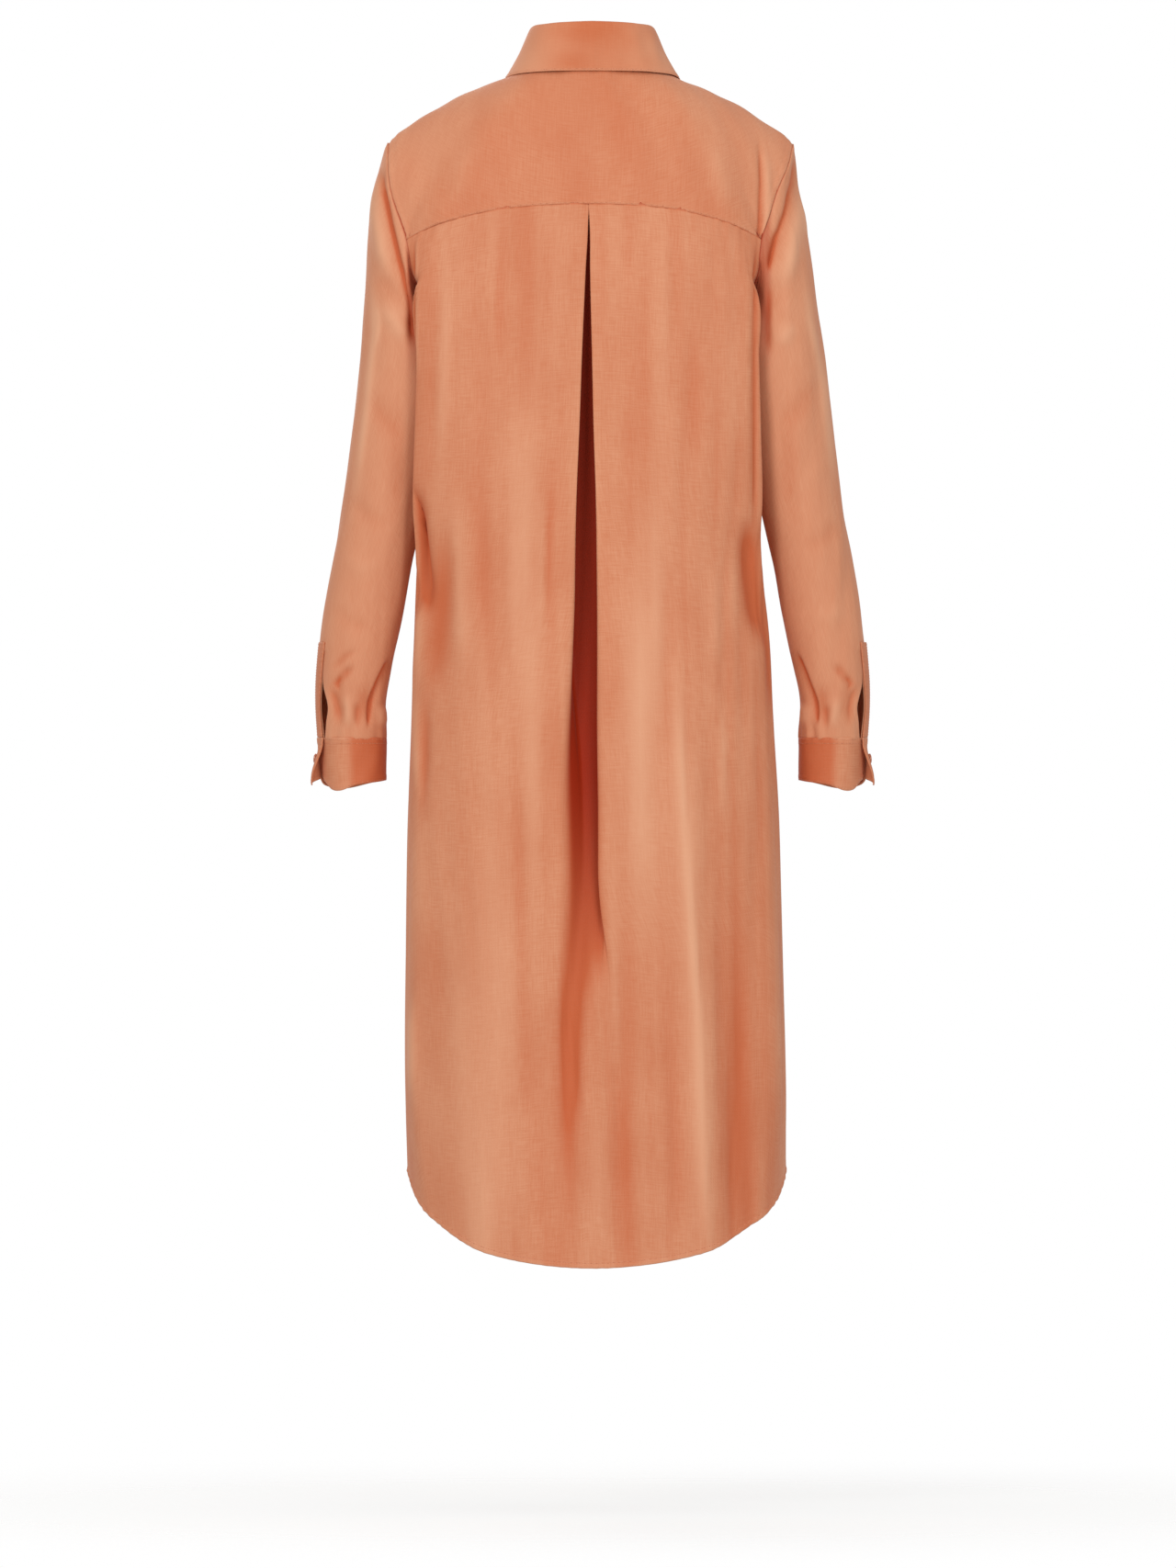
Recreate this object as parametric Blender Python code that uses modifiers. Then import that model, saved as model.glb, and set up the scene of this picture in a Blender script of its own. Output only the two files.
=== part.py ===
"""Long-sleeved shirt dress in its worn form, with nobody in it (Blender 4.5).

Sizes in the tables are millimetres and become metres where the meshes are made. +Z is up,
the front faces -Y and +X is the wearer's left. The origin lies between the shoulders, at the
height of the neck's side, where the wearer holds the dress up. Each piece of cloth is a grid
bent over the garment's form, with a wall from Solidify. The pieces stop short of their seams.
"""

from typing import NamedTuple

import bmesh
import bpy
import numpy as np
from mathutils import Vector

GARMENT = "shirt_dress"
METRES_PER_MM = 0.001

# Cloth and seams, in millimetres
CLOTH_THICK = 1.2
LAYERED_THICK = 1.8
SEAM_GAP = 0.4
HALF_GAP = SEAM_GAP / 2
FRONT_YOKE_GAP = 0.8
NECK_CLEARANCE = 1.2
ARMHOLE_CLEARANCE = 0.7
UNDERARM_CLEARANCE = 1.4

# Places of the back panel's columns and rows
PLEAT_SHARES = (0, 0.08, 0.16, 0.23, 0.29, 0.34, 0.38, 0.43, 0.5, 0.57, 0.63, 0.68, 0.72, 0.77, 0.88, 1)
OUTER_COLUMNS = 9
BACK_LEVELS = (
    (140, 153, 168, 185, 205, 224, 234, 246, 262, 282, 305, 330, 360, 395, 430, 470, 510)
    + (550, 595, 645, 695, 745, 795, 845, 895, 945, 1000, 1060, 1120, 1170, 1215, 1259)
)

FRONT_LEVELS = (
    (60, 76, 94, 114, 136, 158, 180, 200, 216, 229, 240, 258, 282, 310, 345, 385, 430, 475)
    + (520, 570, 625, 690, 760, 840, 930, 1030, 1120, 1170, 1216)
)
FRONT_COLUMNS = 13
YOKE_MIDDLE_COLUMNS = 4
YOKE_ARMHOLE_COLUMNS = 8
YOKE_ROWS = 8
COLLAR_COLUMNS = 33
FALL_ROWS = (0, 0.05, 0.1, 0.16, 0.26, 0.5, 0.75, 1)
SLEEVE_COLUMNS = 21
CAP_ROWS = (0, 0.12, 0.28, 0.46, 0.64, 0.82)
SLEEVE_HEIGHTS = (-300, -345, -390, -435, -480, -525, -570, -606, -628, -646, -668, -685, -701)
PLACKET_HEIGHTS = (-606, -628, -646, -668, -685, -700)
CUFF_COLUMNS = 27

# Across a half panel: shares of its width at which a section's points lie, the last of them
# on the other panel beyond the side seam
ACROSS = (0.0, 0.4, 0.68, 0.86, 1.0, 1.14)
QUARTER = ACROSS[1]


class Section(NamedTuple):
    """Half of a level section, in millimetres, from the centre line to the side seam."""

    level: float
    centre_y: float
    quarter: tuple
    ear: tuple
    tuck: tuple
    side: tuple


# The back: its edge folds into an ear behind the sleeve, and tucks in beside the arm
BACK_SECTIONS = (
    Section(-240, 108, (94, 103), (181, 75), (159, 47), (147, 4.8)),
    Section(-300, 108, (96, 102), (180, 73), (148, 41), (135, 4)),
    Section(-380, 106, (98, 101), (181, 67), (160, 39), (147, 2)),
    Section(-450, 105, (99, 100), (181, 60), (174, 34), (162, 0)),
    Section(-514, 106, (101, 99), (175, 55), (182, 28), (178, -2)),
    Section(-600, 110, (105, 101), (173, 58), (187, 28), (187, -3)),
    Section(-690, 114, (108, 104), (176, 60), (190, 30), (191, -4)),
    Section(-800, 119, (111, 107), (180, 63), (195, 31), (196, -4)),
    Section(-950, 125, (113, 111), (183, 66), (198, 32), (199, -5)),
    Section(-1080, 131, (114, 116), (184, 69), (199, 34), (201, -5)),
)
FRONT_SECTIONS = (
    Section(-240, -126, (92, -114), (150, -76), (148, -42), (147, 4.8)),
    Section(-300, -130, (98, -119), (160, -82), (147, -44), (135, 4)),
    Section(-380, -131, (100, -119), (163, -80), (156, -42), (147, 2)),
    Section(-450, -131, (102, -118), (167, -76), (169, -40), (162, 0)),
    Section(-514, -131, (104, -117), (171, -71), (181, -36), (178, -2)),
    Section(-600, -132, (107, -118), (174, -71), (187, -37), (187, -3)),
    Section(-690, -134, (109, -119), (177, -72), (190, -39), (191, -4)),
    Section(-800, -137, (111, -121), (181, -73), (195, -40), (196, -4)),
    Section(-950, -141, (113, -124), (184, -75), (198, -41), (199, -5)),
    Section(-1080, -145, (114, -127), (186, -77), (200, -42), (201, -5)),
)

# Rows of points above the sections and at the hems: centre, quarter, ear, tuck, side
BACK_SEAM_ROW = ((0, 103, -140), (88, 100, -145), (146, 86, -158), (172, 72, -168), (188, 60, -176))
BACK_ARMHOLE_ROW = ((0, 107, -205), (92, 103, -206), (162, 82, -208), (179, 68, -209), (182, 56, -208))
BACK_HEM_ROW = ((0, 140, -1259), (112, 122, -1244), (173, 78, -1209), (192, 42, -1186), (200, -5, -1161))
FRONT_TOP_ROW = ((0, -74, -60), (59, -32, -12), (118, -26, -30), (168, -25, -58), (207, -23, -88))
FRONT_SHOULDER_ROW = ((0, -84, -86), (68, -60, -47), (125, -50, -57), (171, -42, -84), (199, -37, -113))
FRONT_CHEST_ROW = ((0, -97, -118), (76, -86, -112), (134, -68, -122), (168, -58, -132), (190, -50, -140))
FRONT_ARMHOLE_ROW = ((0, -114, -178), (86, -101, -178), (142, -75, -182), (163, -60, -186), (172, -50, -190))
FRONT_HEM_ROW = ((0, -151, -1216), (112, -132, -1204), (176, -84, -1182), (194, -48, -1170), (200, -5, -1161))

BACK_KNOTS = (140, 205) + tuple(-row.level for row in BACK_SECTIONS) + (1259,)
FRONT_KNOTS = (60, 85, 118, 178) + tuple(-row.level for row in FRONT_SECTIONS) + (1216,)


class Lean(NamedTuple):
    """How far the dress hangs to the wearer's left at a height, in the middle and at its sides."""

    z: float
    middle: float
    sides: float


LEANS = (
    Lean(60, 0, 0),
    Lean(-50, 1, 1),
    Lean(-90, 2, 4),
    Lean(-125, 4, 9),
    Lean(-175, 4, 9),
    Lean(-210, 5, 8),
    Lean(-300, 6, 5),
    Lean(-470, 7, 5),
    Lean(-600, 7, 1),
    Lean(-690, 5.5, 0),
    Lean(-850, 2, -1.5),
    Lean(-1060, 0, -3),
    Lean(-1260, 0, -6),
)
LEAN_REACH = 180


class NeckPoint(NamedTuple):
    """A point of the neck seam, by its angle from the centre back."""

    angle: float
    place: tuple


NECK = (
    NeckPoint(0, (0, 60, 10)),
    NeckPoint(45, (45, 43, 9)),
    NeckPoint(90, (62, 2, 5)),
    NeckPoint(122, (51, -37, -19)),
    NeckPoint(152, (30, -62, -44)),
    NeckPoint(180, (0, -72, -58)),
)
FRONT_YOKE_ANGLE = 113

# The armhole by its angle round the arm: 0 shoulder point, 90 back, 180 underarm, 270 front
ARMHOLE = (
    (0, (214, 0, -75)),
    (30, (212, 28, -96)),
    (62, (203, 48, -130)),
    (90, BACK_SEAM_ROW[-1]),
    (118, (180, 52, -210)),
    (148, (166, 32, -229)),
    (180, (147, 4.8, -238)),
    (212, (153, -26, -225)),
    (245, (169, -47, -190)),
    (282, (188, -50, -142)),
    (325, (207, -23, -88)),
)
YOKE_CORNER_ANGLE = 90
FRONT_CORNER_ANGLE = -35

# The armhole's angle at levels down the panels' edges, to the underarm
BACK_TURN = ((140, 90), (166, 101), (205, 117), (224, 141), (240, 180))
FRONT_TURN = ((60, 325), (118, 282), (178, 245), (222, 212), (240, 180))


class YokeLine(NamedTuple):
    """A line over the yoke, by its place round it, with its directions at both ends."""

    share: float
    neck_angle: float
    leave: tuple
    arrive: tuple


YOKE_CORNER_SHARE = 0.5
YOKE_LINES = (
    YokeLine(0.0, 0, (0, 0.66, -0.75), (0, 0.08, -1.0)),
    YokeLine(0.25, 24, (0.36, 0.58, -0.70), (0.10, 0.02, -1.0)),
    YokeLine(0.5, 50, (0.72, 0.58, -0.38), (0.32, -0.10, -0.94)),
    YokeLine(0.86, 95, (0.95, 0.0, -0.30), (0.75, 0.0, -0.66)),
    YokeLine(1.0, 113, (0.88, -0.30, -0.35), (0.62, -0.25, -0.74)),
)


class Ring(NamedTuple):
    """A level section of the left sleeve."""

    z: float
    outer_x: float
    inner_x: float
    centre_y: float
    half_depth: float


SLEEVE_RINGS = (
    Ring(-300, 245.5, 146, 1, 57),
    Ring(-340, 250.5, 153, -2, 55),
    Ring(-427, 260.5, 169, -8, 51),
    Ring(-514, 275, 191, -14, 47),
    Ring(-572, 285, 201.5, -20, 45),
    Ring(-630, 291, 214, -25, 43),
    Ring(-665, 292, 220, -28, 41),
    Ring(-700, 290, 219, -31, 38),
    Ring(-760, 286, 219.5, -35, 37),
)
CUFF_SEAM_Z = -701
CUFF_HEM_Z = -752
CUFF_HEM_SLOPE = 8
CUFF_OVERLAP = 24
CUFF_LAP_DEPTH = 1.1
CUFF_FLARE = 11
SLIT_RADIUS = 37
SLIT_ANGLE = 24
SLIT_TOP_Z = -628
SLIT_GAPE = ((-628, 0), (-640, 2.5), (-668, 6), (-690, 4), (-701, 2.4))
PLACKET_WIDE = 22


class PleatSection(NamedTuple):
    """Half of the folded box pleat at a level: widths from its middle, depths inwards."""

    level: float
    mouth: float
    inner: float
    mid_depth: float
    under_depth: float


PLEAT = (
    PleatSection(140, 1.6, 32, 3.2, 6.4),
    PleatSection(220, 3.0, 32, 3.4, 7.0),
    PleatSection(300, 5.5, 31, 4.4, 9.5),
    PleatSection(373, 7.5, 30, 5.6, 12),
    PleatSection(450, 9.5, 28, 7.0, 16),
    PleatSection(520, 11, 25, 9.0, 19),
    PleatSection(600, 12, 22, 11, 22),
    PleatSection(690, 12, 19, 12, 23),
    PleatSection(772, 13, 17, 12, 22),
    PleatSection(860, 17, 16, 10, 18),
)
PLEAT_JOIN = 72


class WaveSection(NamedTuple):
    """The pleat where it has opened into two troughs with a ridge between them."""

    level: float
    trough_x: float
    trough_depth: float
    middle_depth: float


WAVE = (
    WaveSection(640, 4, 18, 18),
    WaveSection(860, 12, 15, 14),
    WaveSection(960, 20, 11, 5),
    WaveSection(1060, 25, 9.5, 0.5),
    WaveSection(1160, 27, 8, -1),
    WaveSection(1259, 28, 6.5, -1),
)
WAVE_HALF_WIDTH = 17
WAVE_SHARES = (0, 0.12, 0.26, 0.34, 0.5, 0.68, 0.88, 1)
WAVE_PLACES = (72, 52, 31, 23, 15.5, 9, 3.5, 0)
PLEAT_OPENS_LEVEL = 540
PLEAT_OPEN_LEVEL = 960


class Fold(NamedTuple):
    """A soft fold of the back: a ridge if its height is positive, a trough if negative."""

    top_level: float
    bottom_level: float
    top_x: float
    bottom_x: float
    half_width: float
    height: float


BACK_FOLDS = (
    Fold(560, 1330, -84, -124, 20, 7),
    Fold(880, 1400, -150, -160, 26, -7),
    Fold(960, 1340, -84, -88, 16, -4),
    Fold(820, 1400, 112, 120, 30, 5),
    Fold(600, 1100, 168, 150, 20, -5),
)
FOLD_EDGE = 0.14

# Collar
STAND_HEIGHTS = ((0, 36), (90, 34), (150, 29), (180, 27))
STAND_LEAN_IN = 3
STAND_OVERLAP_ANGLE = 9
STAND_LAP_DEPTH = 1.35
LAP_ANGLE = 150
FALL_BULGE = 1.5
FALL_KNOTS = (0, 0.08, 0.16, 0.26, 0.63, 1)
FALL_END_ANGLE = 176
ROLL = ((0.0, 0.4), (0.6, 4.2), (3.6, 7.0), (7.2, 5.0))
FALL_EDGE = (
    (0, (0, 75, 3)),
    (40, (58, 58, 3)),
    (78, (90, 18, 1)),
    (105, (92, -20, -9)),
    (135, (78, -60, -44)),
    (158, (62, -86, -76)),
    (176, (45, -101, -98)),
)

# Front closing
BAND_HALF_WIDE = 15
UNDERLAP = 12
UNDERLAP_DEPTH = 2.0
BUTTON_RADIUS = 5.5
BUTTON_THICK = 2.4
BUTTON_SIDES = 18
FIRST_BUTTON_LEVEL = 95
BUTTON_SPACING = 86
BUTTON_COUNT = 10

# Colours as linear red, green and blue, with roughness
TERRACOTTA = (0.62, 0.24, 0.125, 1.0)
TERRACOTTA_DARK = (0.54, 0.20, 0.10, 1.0)
BUTTON_COLOUR = (0.50, 0.19, 0.10, 1.0)
CLOTH_ROUGHNESS = 0.72
BUTTON_ROUGHNESS = 0.3


def clear_scene():
    """Removes what the scene holds."""
    for thing in list(bpy.data.objects):
        bpy.data.objects.remove(thing, do_unlink=True)


def make_collection(name):
    """Adds a collection to the scene."""
    collection = bpy.data.collections.new(name)
    bpy.context.scene.collection.children.link(collection)
    return collection


def make_material(name, colour, roughness):
    """A plain Principled material."""
    material = bpy.data.materials.new(name)
    material.use_nodes = True
    shader = material.node_tree.nodes["Principled BSDF"]
    shader.inputs["Base Color"].default_value = colour
    shader.inputs["Roughness"].default_value = roughness
    shader.inputs["Metallic"].default_value = 0.0
    material.diffuse_color = colour
    return material


def spline_weights(knots, at):
    """Shares of the values at the knots that make a smooth curve through them.

    The result has a row for each place in `at` and a column for each knot.
    """
    knots = np.asarray(knots, float)
    at = np.clip(np.asarray(at, float), knots[0], knots[-1])
    count = len(knots)
    unit = np.eye(count)
    slope = np.zeros((count, count))
    for index in range(count):
        low = max(index - 1, 0)
        high = min(index + 1, count - 1)
        slope[index] = (unit[high] - unit[low]) / (knots[high] - knots[low])
    cell = np.clip(np.searchsorted(knots, at, side="right") - 1, 0, count - 2)
    step = knots[cell + 1] - knots[cell]
    t = (at - knots[cell]) / step
    rise = t * t * (3 - 2 * t)
    leave = t * (1 - t) ** 2 * step
    arrive = -t * t * (1 - t) * step
    weights = (1 - rise)[:, None] * unit[cell] + rise[:, None] * unit[cell + 1]
    return weights + leave[:, None] * slope[cell] + arrive[:, None] * slope[cell + 1]


def curve(knots, values, at):
    """Smooth curve through the values at the knots, read at each place in `at`."""
    shape = np.shape(at)
    weights = spline_weights(knots, np.ravel(at))
    result = weights @ np.asarray(values, float)
    return result.reshape(shape + result.shape[1:])


def smooth_step(t):
    """Eases from 0 to 1."""
    t = np.clip(t, 0, 1)
    return t * t * (3 - 2 * t)


def leaned(points, share=1.0):
    """Moves points sideways as the dress leans at their height."""
    heights = [lean.z for lean in LEANS][::-1]
    middle = [lean.middle for lean in LEANS][::-1]
    sides = [lean.sides for lean in LEANS][::-1]
    outward = np.clip(np.abs(points[..., 0]) / LEAN_REACH, 0, 1) ** 2
    height = points[..., 2]
    shift = (1 - outward) * curve(heights, middle, height) + outward * curve(heights, sides, height)
    moved = points.copy()
    moved[..., 0] += shift * share
    return moved


def neck_seam(angles):
    """Points of the neck seam at angles from the centre back, positive to the wearer's left."""
    angles = (np.asarray(angles, float) + 180) % 360 - 180
    knots = [point.angle for point in NECK]
    places = [point.place for point in NECK]
    before = (-knots[1], (-places[1][0],) + places[1][1:])
    after = (360 - knots[-2], (-places[-2][0],) + places[-2][1:])
    knots = [before[0]] + knots + [after[0]]
    places = [before[1]] + places + [after[1]]
    points = curve(knots, places, np.abs(angles))
    points[..., 0] *= np.where(angles < 0, -1, 1)
    return points


def armhole(angles, side):
    """Points of an armhole seam at angles round the arm; side is 1 for left, -1 for right."""
    knots = [angle for angle, _ in ARMHOLE]
    places = [place for _, place in ARMHOLE]
    knots = [knots[-1] - 360] + knots + [360, 360 + knots[1]]
    places = [places[-1]] + places + [places[0], places[1]]
    points = curve(knots, places, np.asarray(angles, float) % 360)
    points[..., 0] *= side
    return points


def armhole_clearance(angles):
    """How far the cloth stops from the armhole seam, more where the walls run side by side."""
    underarm = (1 - np.cos(np.radians(angles))) / 2
    return ARMHOLE_CLEARANCE + (UNDERARM_CLEARANCE - ARMHOLE_CLEARANCE) * underarm


def mirrored_net(rows):
    """A net of points over the whole width from rows over the left half."""
    halves = np.asarray(rows, float)
    right = halves[:, :0:-1] * np.array((-1, 1, 1))
    return np.concatenate((right, halves), axis=1)


def half_rows(first_rows, sections, hem_row, opposite):
    """Rows of a panel's left half, each with a point of the opposite panel beyond the seam."""
    rows = []
    for row in first_rows:
        tuck, side = np.array(row[-2], float), np.array(row[-1], float)
        rows.append(tuple(row) + (tuple(2 * side - tuck),))
    for section, other in zip(sections, opposite):
        pairs = ((0, section.centre_y), section.quarter, section.ear, section.tuck, section.side, other.tuck)
        rows.append(tuple((x, y, section.level) for x, y in pairs))
    tuck, side = np.array(hem_row[-2], float), np.array(hem_row[-1], float)
    beyond = (tuck[0], 2 * side[1] - tuck[1], tuck[2])
    rows.append(tuple(hem_row) + (beyond,))
    return rows


BACK_NET = mirrored_net(
    half_rows((BACK_SEAM_ROW, BACK_ARMHOLE_ROW), BACK_SECTIONS, BACK_HEM_ROW, FRONT_SECTIONS)
)
FRONT_NET = mirrored_net(
    half_rows(
        (FRONT_TOP_ROW, FRONT_SHOULDER_ROW, FRONT_CHEST_ROW, FRONT_ARMHOLE_ROW),
        FRONT_SECTIONS,
        FRONT_HEM_ROW,
        BACK_SECTIONS,
    )
)
FULL_ACROSS = tuple(-share for share in ACROSS[:0:-1]) + ACROSS
CENTRE_COLUMN = len(ACROSS) - 1


def net_points(net, row_knots, across, levels):
    """Points of the smooth surface through a net, for each level and place across.

    `across` runs from -1 at the right side seam to 1 at the left one, and may differ from
    level to level: it has the shape (levels, columns).
    """
    down = spline_weights(row_knots, levels)
    rows = np.einsum("lr,rcx->lcx", down, net)
    points = [spline_weights(FULL_ACROSS, across[index]) @ rows[index] for index in range(len(levels))]
    return np.array(points)


def fade(levels, start, reach):
    """1 at the start level, easing to 0 at `reach` below it."""
    return (1 - np.clip((levels - start) / reach, 0, 1)) ** 2


def back_seam_edge(across):
    """The back yoke seam, for places across the back panel."""
    return curve(FULL_ACROSS, BACK_NET[0], across)


def folded_pleat(levels, share):
    """The folded pleat's cloth from the panel, under itself and back to the underlay's middle."""
    table = np.array([tuple(row) for row in PLEAT])
    mouth, inner, mid, under = curve(table[:, 0], table[:, 1:], levels).T
    folded = np.clip((inner - mouth) / 18, 0, 1)
    slack = 1 - folded
    drop = under - mid
    run = inner - mouth
    zero = np.zeros_like(mouth)
    stations = (
        (0.00, zero + PLEAT_JOIN, zero),
        (0.12, (PLEAT_JOIN + mouth) / 2 + 3, zero),
        (0.26, mouth + 5 + slack * 6, zero + 0.2 - slack * 0.8),
        (0.34, mouth, np.minimum(1.6 + slack * mid * 0.4, mid * 0.55)),
        (0.42, mouth + 0.18 * run + folded * 1.5, mid),
        (0.52, mouth + 0.55 * run, mid + slack * drop * 0.3),
        (0.62, mouth + 0.9 * run, mid + slack * drop * 0.6),
        (0.68, inner + folded * 2.0, (mid + under) / 2 + slack * drop * 0.3),
        (0.75, inner - folded * 3 - slack * inner * 0.25, under),
        (0.88, inner * 0.45, under),
        (1.00, zero, under),
    )
    knots = [station[0] for station in stations]
    xs = curve(knots, [station[1] for station in stations], share)
    depths = curve(knots, [station[2] for station in stations], share)
    return xs.T, depths.T


def opened_pleat(levels, share):
    """The pleat as a soft wave, over the same width of the panel."""
    table = np.array([tuple(row) for row in WAVE])
    trough_x, trough_depth, middle_depth = curve(table[:, 0], table[:, 1:], levels).T[..., None]
    x = curve(WAVE_SHARES, WAVE_PLACES, share)[None] + np.zeros_like(trough_x)
    depth = trough_depth * np.exp(-(((x - trough_x) / WAVE_HALF_WIDTH) ** 2))
    depth += (middle_depth - trough_depth) * np.exp(-((x / WAVE_HALF_WIDTH) ** 2)) * 0.6
    edge = trough_depth * np.exp(-(((PLEAT_JOIN - trough_x) / WAVE_HALF_WIDTH) ** 2))
    return x, depth - edge * (x / PLEAT_JOIN) ** 2


def pleat_path(levels, share):
    """Offsets of the pleat's cloth: (x from the pleat's middle, depth), for share 0 to 1.

    Share 0 lies on the panel at the pleat's join and share 1 on the middle of the underlay.
    """
    folded_x, folded_depth = folded_pleat(levels, share)
    wave_x, wave_depth = opened_pleat(levels, share)
    opened = smooth_step((levels - PLEAT_OPENS_LEVEL) / (PLEAT_OPEN_LEVEL - PLEAT_OPENS_LEVEL))[:, None]
    return (1 - opened) * folded_x + opened * wave_x, (1 - opened) * folded_depth + opened * wave_depth


def fold_heights(folds, x, levels):
    """Outward height of the soft folds at points of a panel."""
    total = np.zeros_like(x)
    for fold in folds:
        along = (levels - fold.top_level) / (fold.bottom_level - fold.top_level)
        line = fold.top_x + (fold.bottom_x - fold.top_x) * along
        strength = np.sin(np.pi * np.clip(along, 0, 1)) ** 0.7 * fold.height
        total += strength[:, None] * np.exp(-(((x - line[:, None]) / fold.half_width) ** 2))
    return total


def back_panel_points(levels, outer_shares, pleat_shares):
    """The back panel with its pleat: rows run down, columns from right to left."""
    join = across_at(PLEAT_JOIN, BACK_KNOTS, BACK_NET, levels)
    outer = 1 + (join[:, None] - 1) * outer_shares[None]
    path_x, path_depth = pleat_path(levels, pleat_shares)
    inner = join[:, None] * path_x / PLEAT_JOIN
    half = np.concatenate((outer, inner[:, 1:]), axis=1)
    depth = np.concatenate((np.zeros_like(outer), path_depth[:, 1:]), axis=1)
    across = np.concatenate((-half, half[:, -2::-1]), axis=1)
    depth = np.concatenate((depth, depth[:, -2::-1]), axis=1)
    points = net_points(BACK_NET, BACK_KNOTS, across, levels)
    top = back_seam_edge(across[0])
    points += (top - points[0])[None] * fade(levels, levels[0], 60)[:, None, None]
    fit_edges(points, across, levels, BACK_TURN)
    points[..., 1] -= depth
    from_side = smooth_step((1 - np.abs(across)) / FOLD_EDGE)
    points[..., 1] += fold_heights(BACK_FOLDS, points[..., 0], levels) * from_side
    points[0, :, 2] -= HALF_GAP
    points[np.isclose(np.abs(across), 1), 1] += HALF_GAP
    return leaned(points)


def side_seam(heights, side):
    """Points of a side seam below the underarm."""
    knots = [BACK_HEM_ROW[-1][2]] + [row.level for row in BACK_SECTIONS][::-1]
    places = [BACK_HEM_ROW[-1][:2]] + [row.side for row in BACK_SECTIONS][::-1]
    xy = curve(knots, places, heights)
    return np.column_stack((xy[:, 0] * side, xy[:, 1], heights))


def fit_edges(points, across, levels, turn):
    """Brings the outer edges of a panel onto the armhole seams and the side seams.

    Args:
        points: the panel's points, which are moved.
        across: places across, from -1 to 1, for each point.
        levels: the rows' levels.
        turn: pairs of a level and the armhole's angle there, down to the underarm.
    """
    turn_levels = [level for level, _ in turn]
    angles = curve(turn_levels, [angle for _, angle in turn], levels)
    underarm_level = turn_levels[-1]
    inside = levels <= underarm_level
    for side in (1, -1):
        column = -1 if side > 0 else 0
        if np.sign(across[0, column]) != side:
            continue
        edge = armhole(angles, side)
        height = points[:, column, 2]
        seam = side_seam(height, side)
        edge = np.where(inside[:, None], edge, seam)
        clearance = armhole_clearance(angles) * fade(levels, underarm_level, 50)
        edge[:, 0] -= side * clearance
        miss = edge - points[:, column]
        weight = np.clip((np.abs(across) - 0.62) / 0.38, 0, 1) ** 2 * (np.sign(across) == side)
        points += miss[:, None] * weight[..., None]


def hermite(start, start_slope, end, end_slope, share):
    """A cubic from start to end with the given slopes at its ends."""
    t = np.asarray(share, float)
    rise = t * t * (3 - 2 * t)
    leave = t * (1 - t) ** 2
    arrive = t * t * (1 - t)
    return start + rise * (end - start) + leave * start_slope - arrive * end_slope


def yoke_lines(share, down):
    """Points on the lines that run over the yoke from the neck to its outer edge.

    Args:
        share: places round the yoke, 0 at the centre back and 1 at the left front seam;
            negative on the right.
        down: shares of the way from the neck seam, 0 to 1.
    """
    side = np.where(np.asarray(share) < 0, -1.0, 1.0)
    share = np.abs(share)
    knots = [line.share for line in YOKE_LINES]
    angles = curve(knots, [line.neck_angle for line in YOKE_LINES], share)
    start = neck_seam(angles)
    on_seam = back_seam_edge(np.clip(share / YOKE_CORNER_SHARE, 0, 1))
    rest = (share - YOKE_CORNER_SHARE) / (1 - YOKE_CORNER_SHARE)
    turn = YOKE_CORNER_ANGLE + (FRONT_CORNER_ANGLE - YOKE_CORNER_ANGLE) * np.clip(rest, 0, 1)
    on_armhole = armhole(turn, 1)
    on_armhole[:, 0] -= armhole_clearance(turn)
    outer = np.where((rest <= 0)[:, None], on_seam, on_armhole)
    length = np.linalg.norm(outer - start, axis=1)[:, None]
    leave = curve(knots, [line.leave for line in YOKE_LINES], share) * length
    arrive = curve(knots, [line.arrive for line in YOKE_LINES], share) * length
    down = np.asarray(down, float)[:, None, None]
    points = hermite(start[None], leave[None], outer[None], arrive[None], down)
    points[..., 0] *= side
    return points


def yoke_columns(levels):
    """Places round the yoke, which along its seam lie over the back panel's columns."""
    join = across_at(PLEAT_JOIN, BACK_KNOTS, BACK_NET, levels[:1])[0]
    middle = np.linspace(0, join, YOKE_MIDDLE_COLUMNS, endpoint=False)
    seam = np.concatenate((middle, np.linspace(join, 1, OUTER_COLUMNS))) * YOKE_CORNER_SHARE
    half = np.concatenate((seam, np.linspace(YOKE_CORNER_SHARE, 1, YOKE_ARMHOLE_COLUMNS)[1:]))
    return np.concatenate((-half[:0:-1], half))


def yoke_points(shares, down):
    """The yoke: rows from the neck seam outwards, columns from the right front to the left."""
    points = yoke_lines(shares, down)
    along_seam = np.abs(shares) <= YOKE_CORNER_SHARE
    points[-1, along_seam, 2] += HALF_GAP
    points[:, (0, -1), 1] += FRONT_YOKE_GAP / 2
    outward = (points[1] - points[0]) / np.linalg.norm(points[1] - points[0], axis=1)[:, None]
    near_neck = np.clip(1 - np.asarray(down) / 0.3, 0, 1)[:, None, None]
    points += outward[None] * NECK_CLEARANCE * near_neck
    return leaned(points)


def front_top_edge(across):
    """The top edge of the fronts: the neckline, then the front yoke seam."""
    share = np.abs(across)
    side = np.where(across < 0, -1.0, 1.0)
    angles = 180 - (180 - FRONT_YOKE_ANGLE) * np.clip(share / QUARTER, 0, 1)
    edge = neck_seam(angles)
    seam = yoke_lines(np.ones(1), np.clip((share - QUARTER) / (1 - QUARTER), 0, 1))[:, 0]
    edge = np.where((share > QUARTER)[:, None], seam, edge)
    edge[:, 0] *= side
    return edge


def across_at(x, row_knots, net, levels):
    """Places across the panel, for each level, of a distance from the centre line."""
    quarter = net[:, CENTRE_COLUMN + 1, 0]
    return curve(row_knots, QUARTER * x / quarter, levels)


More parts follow.
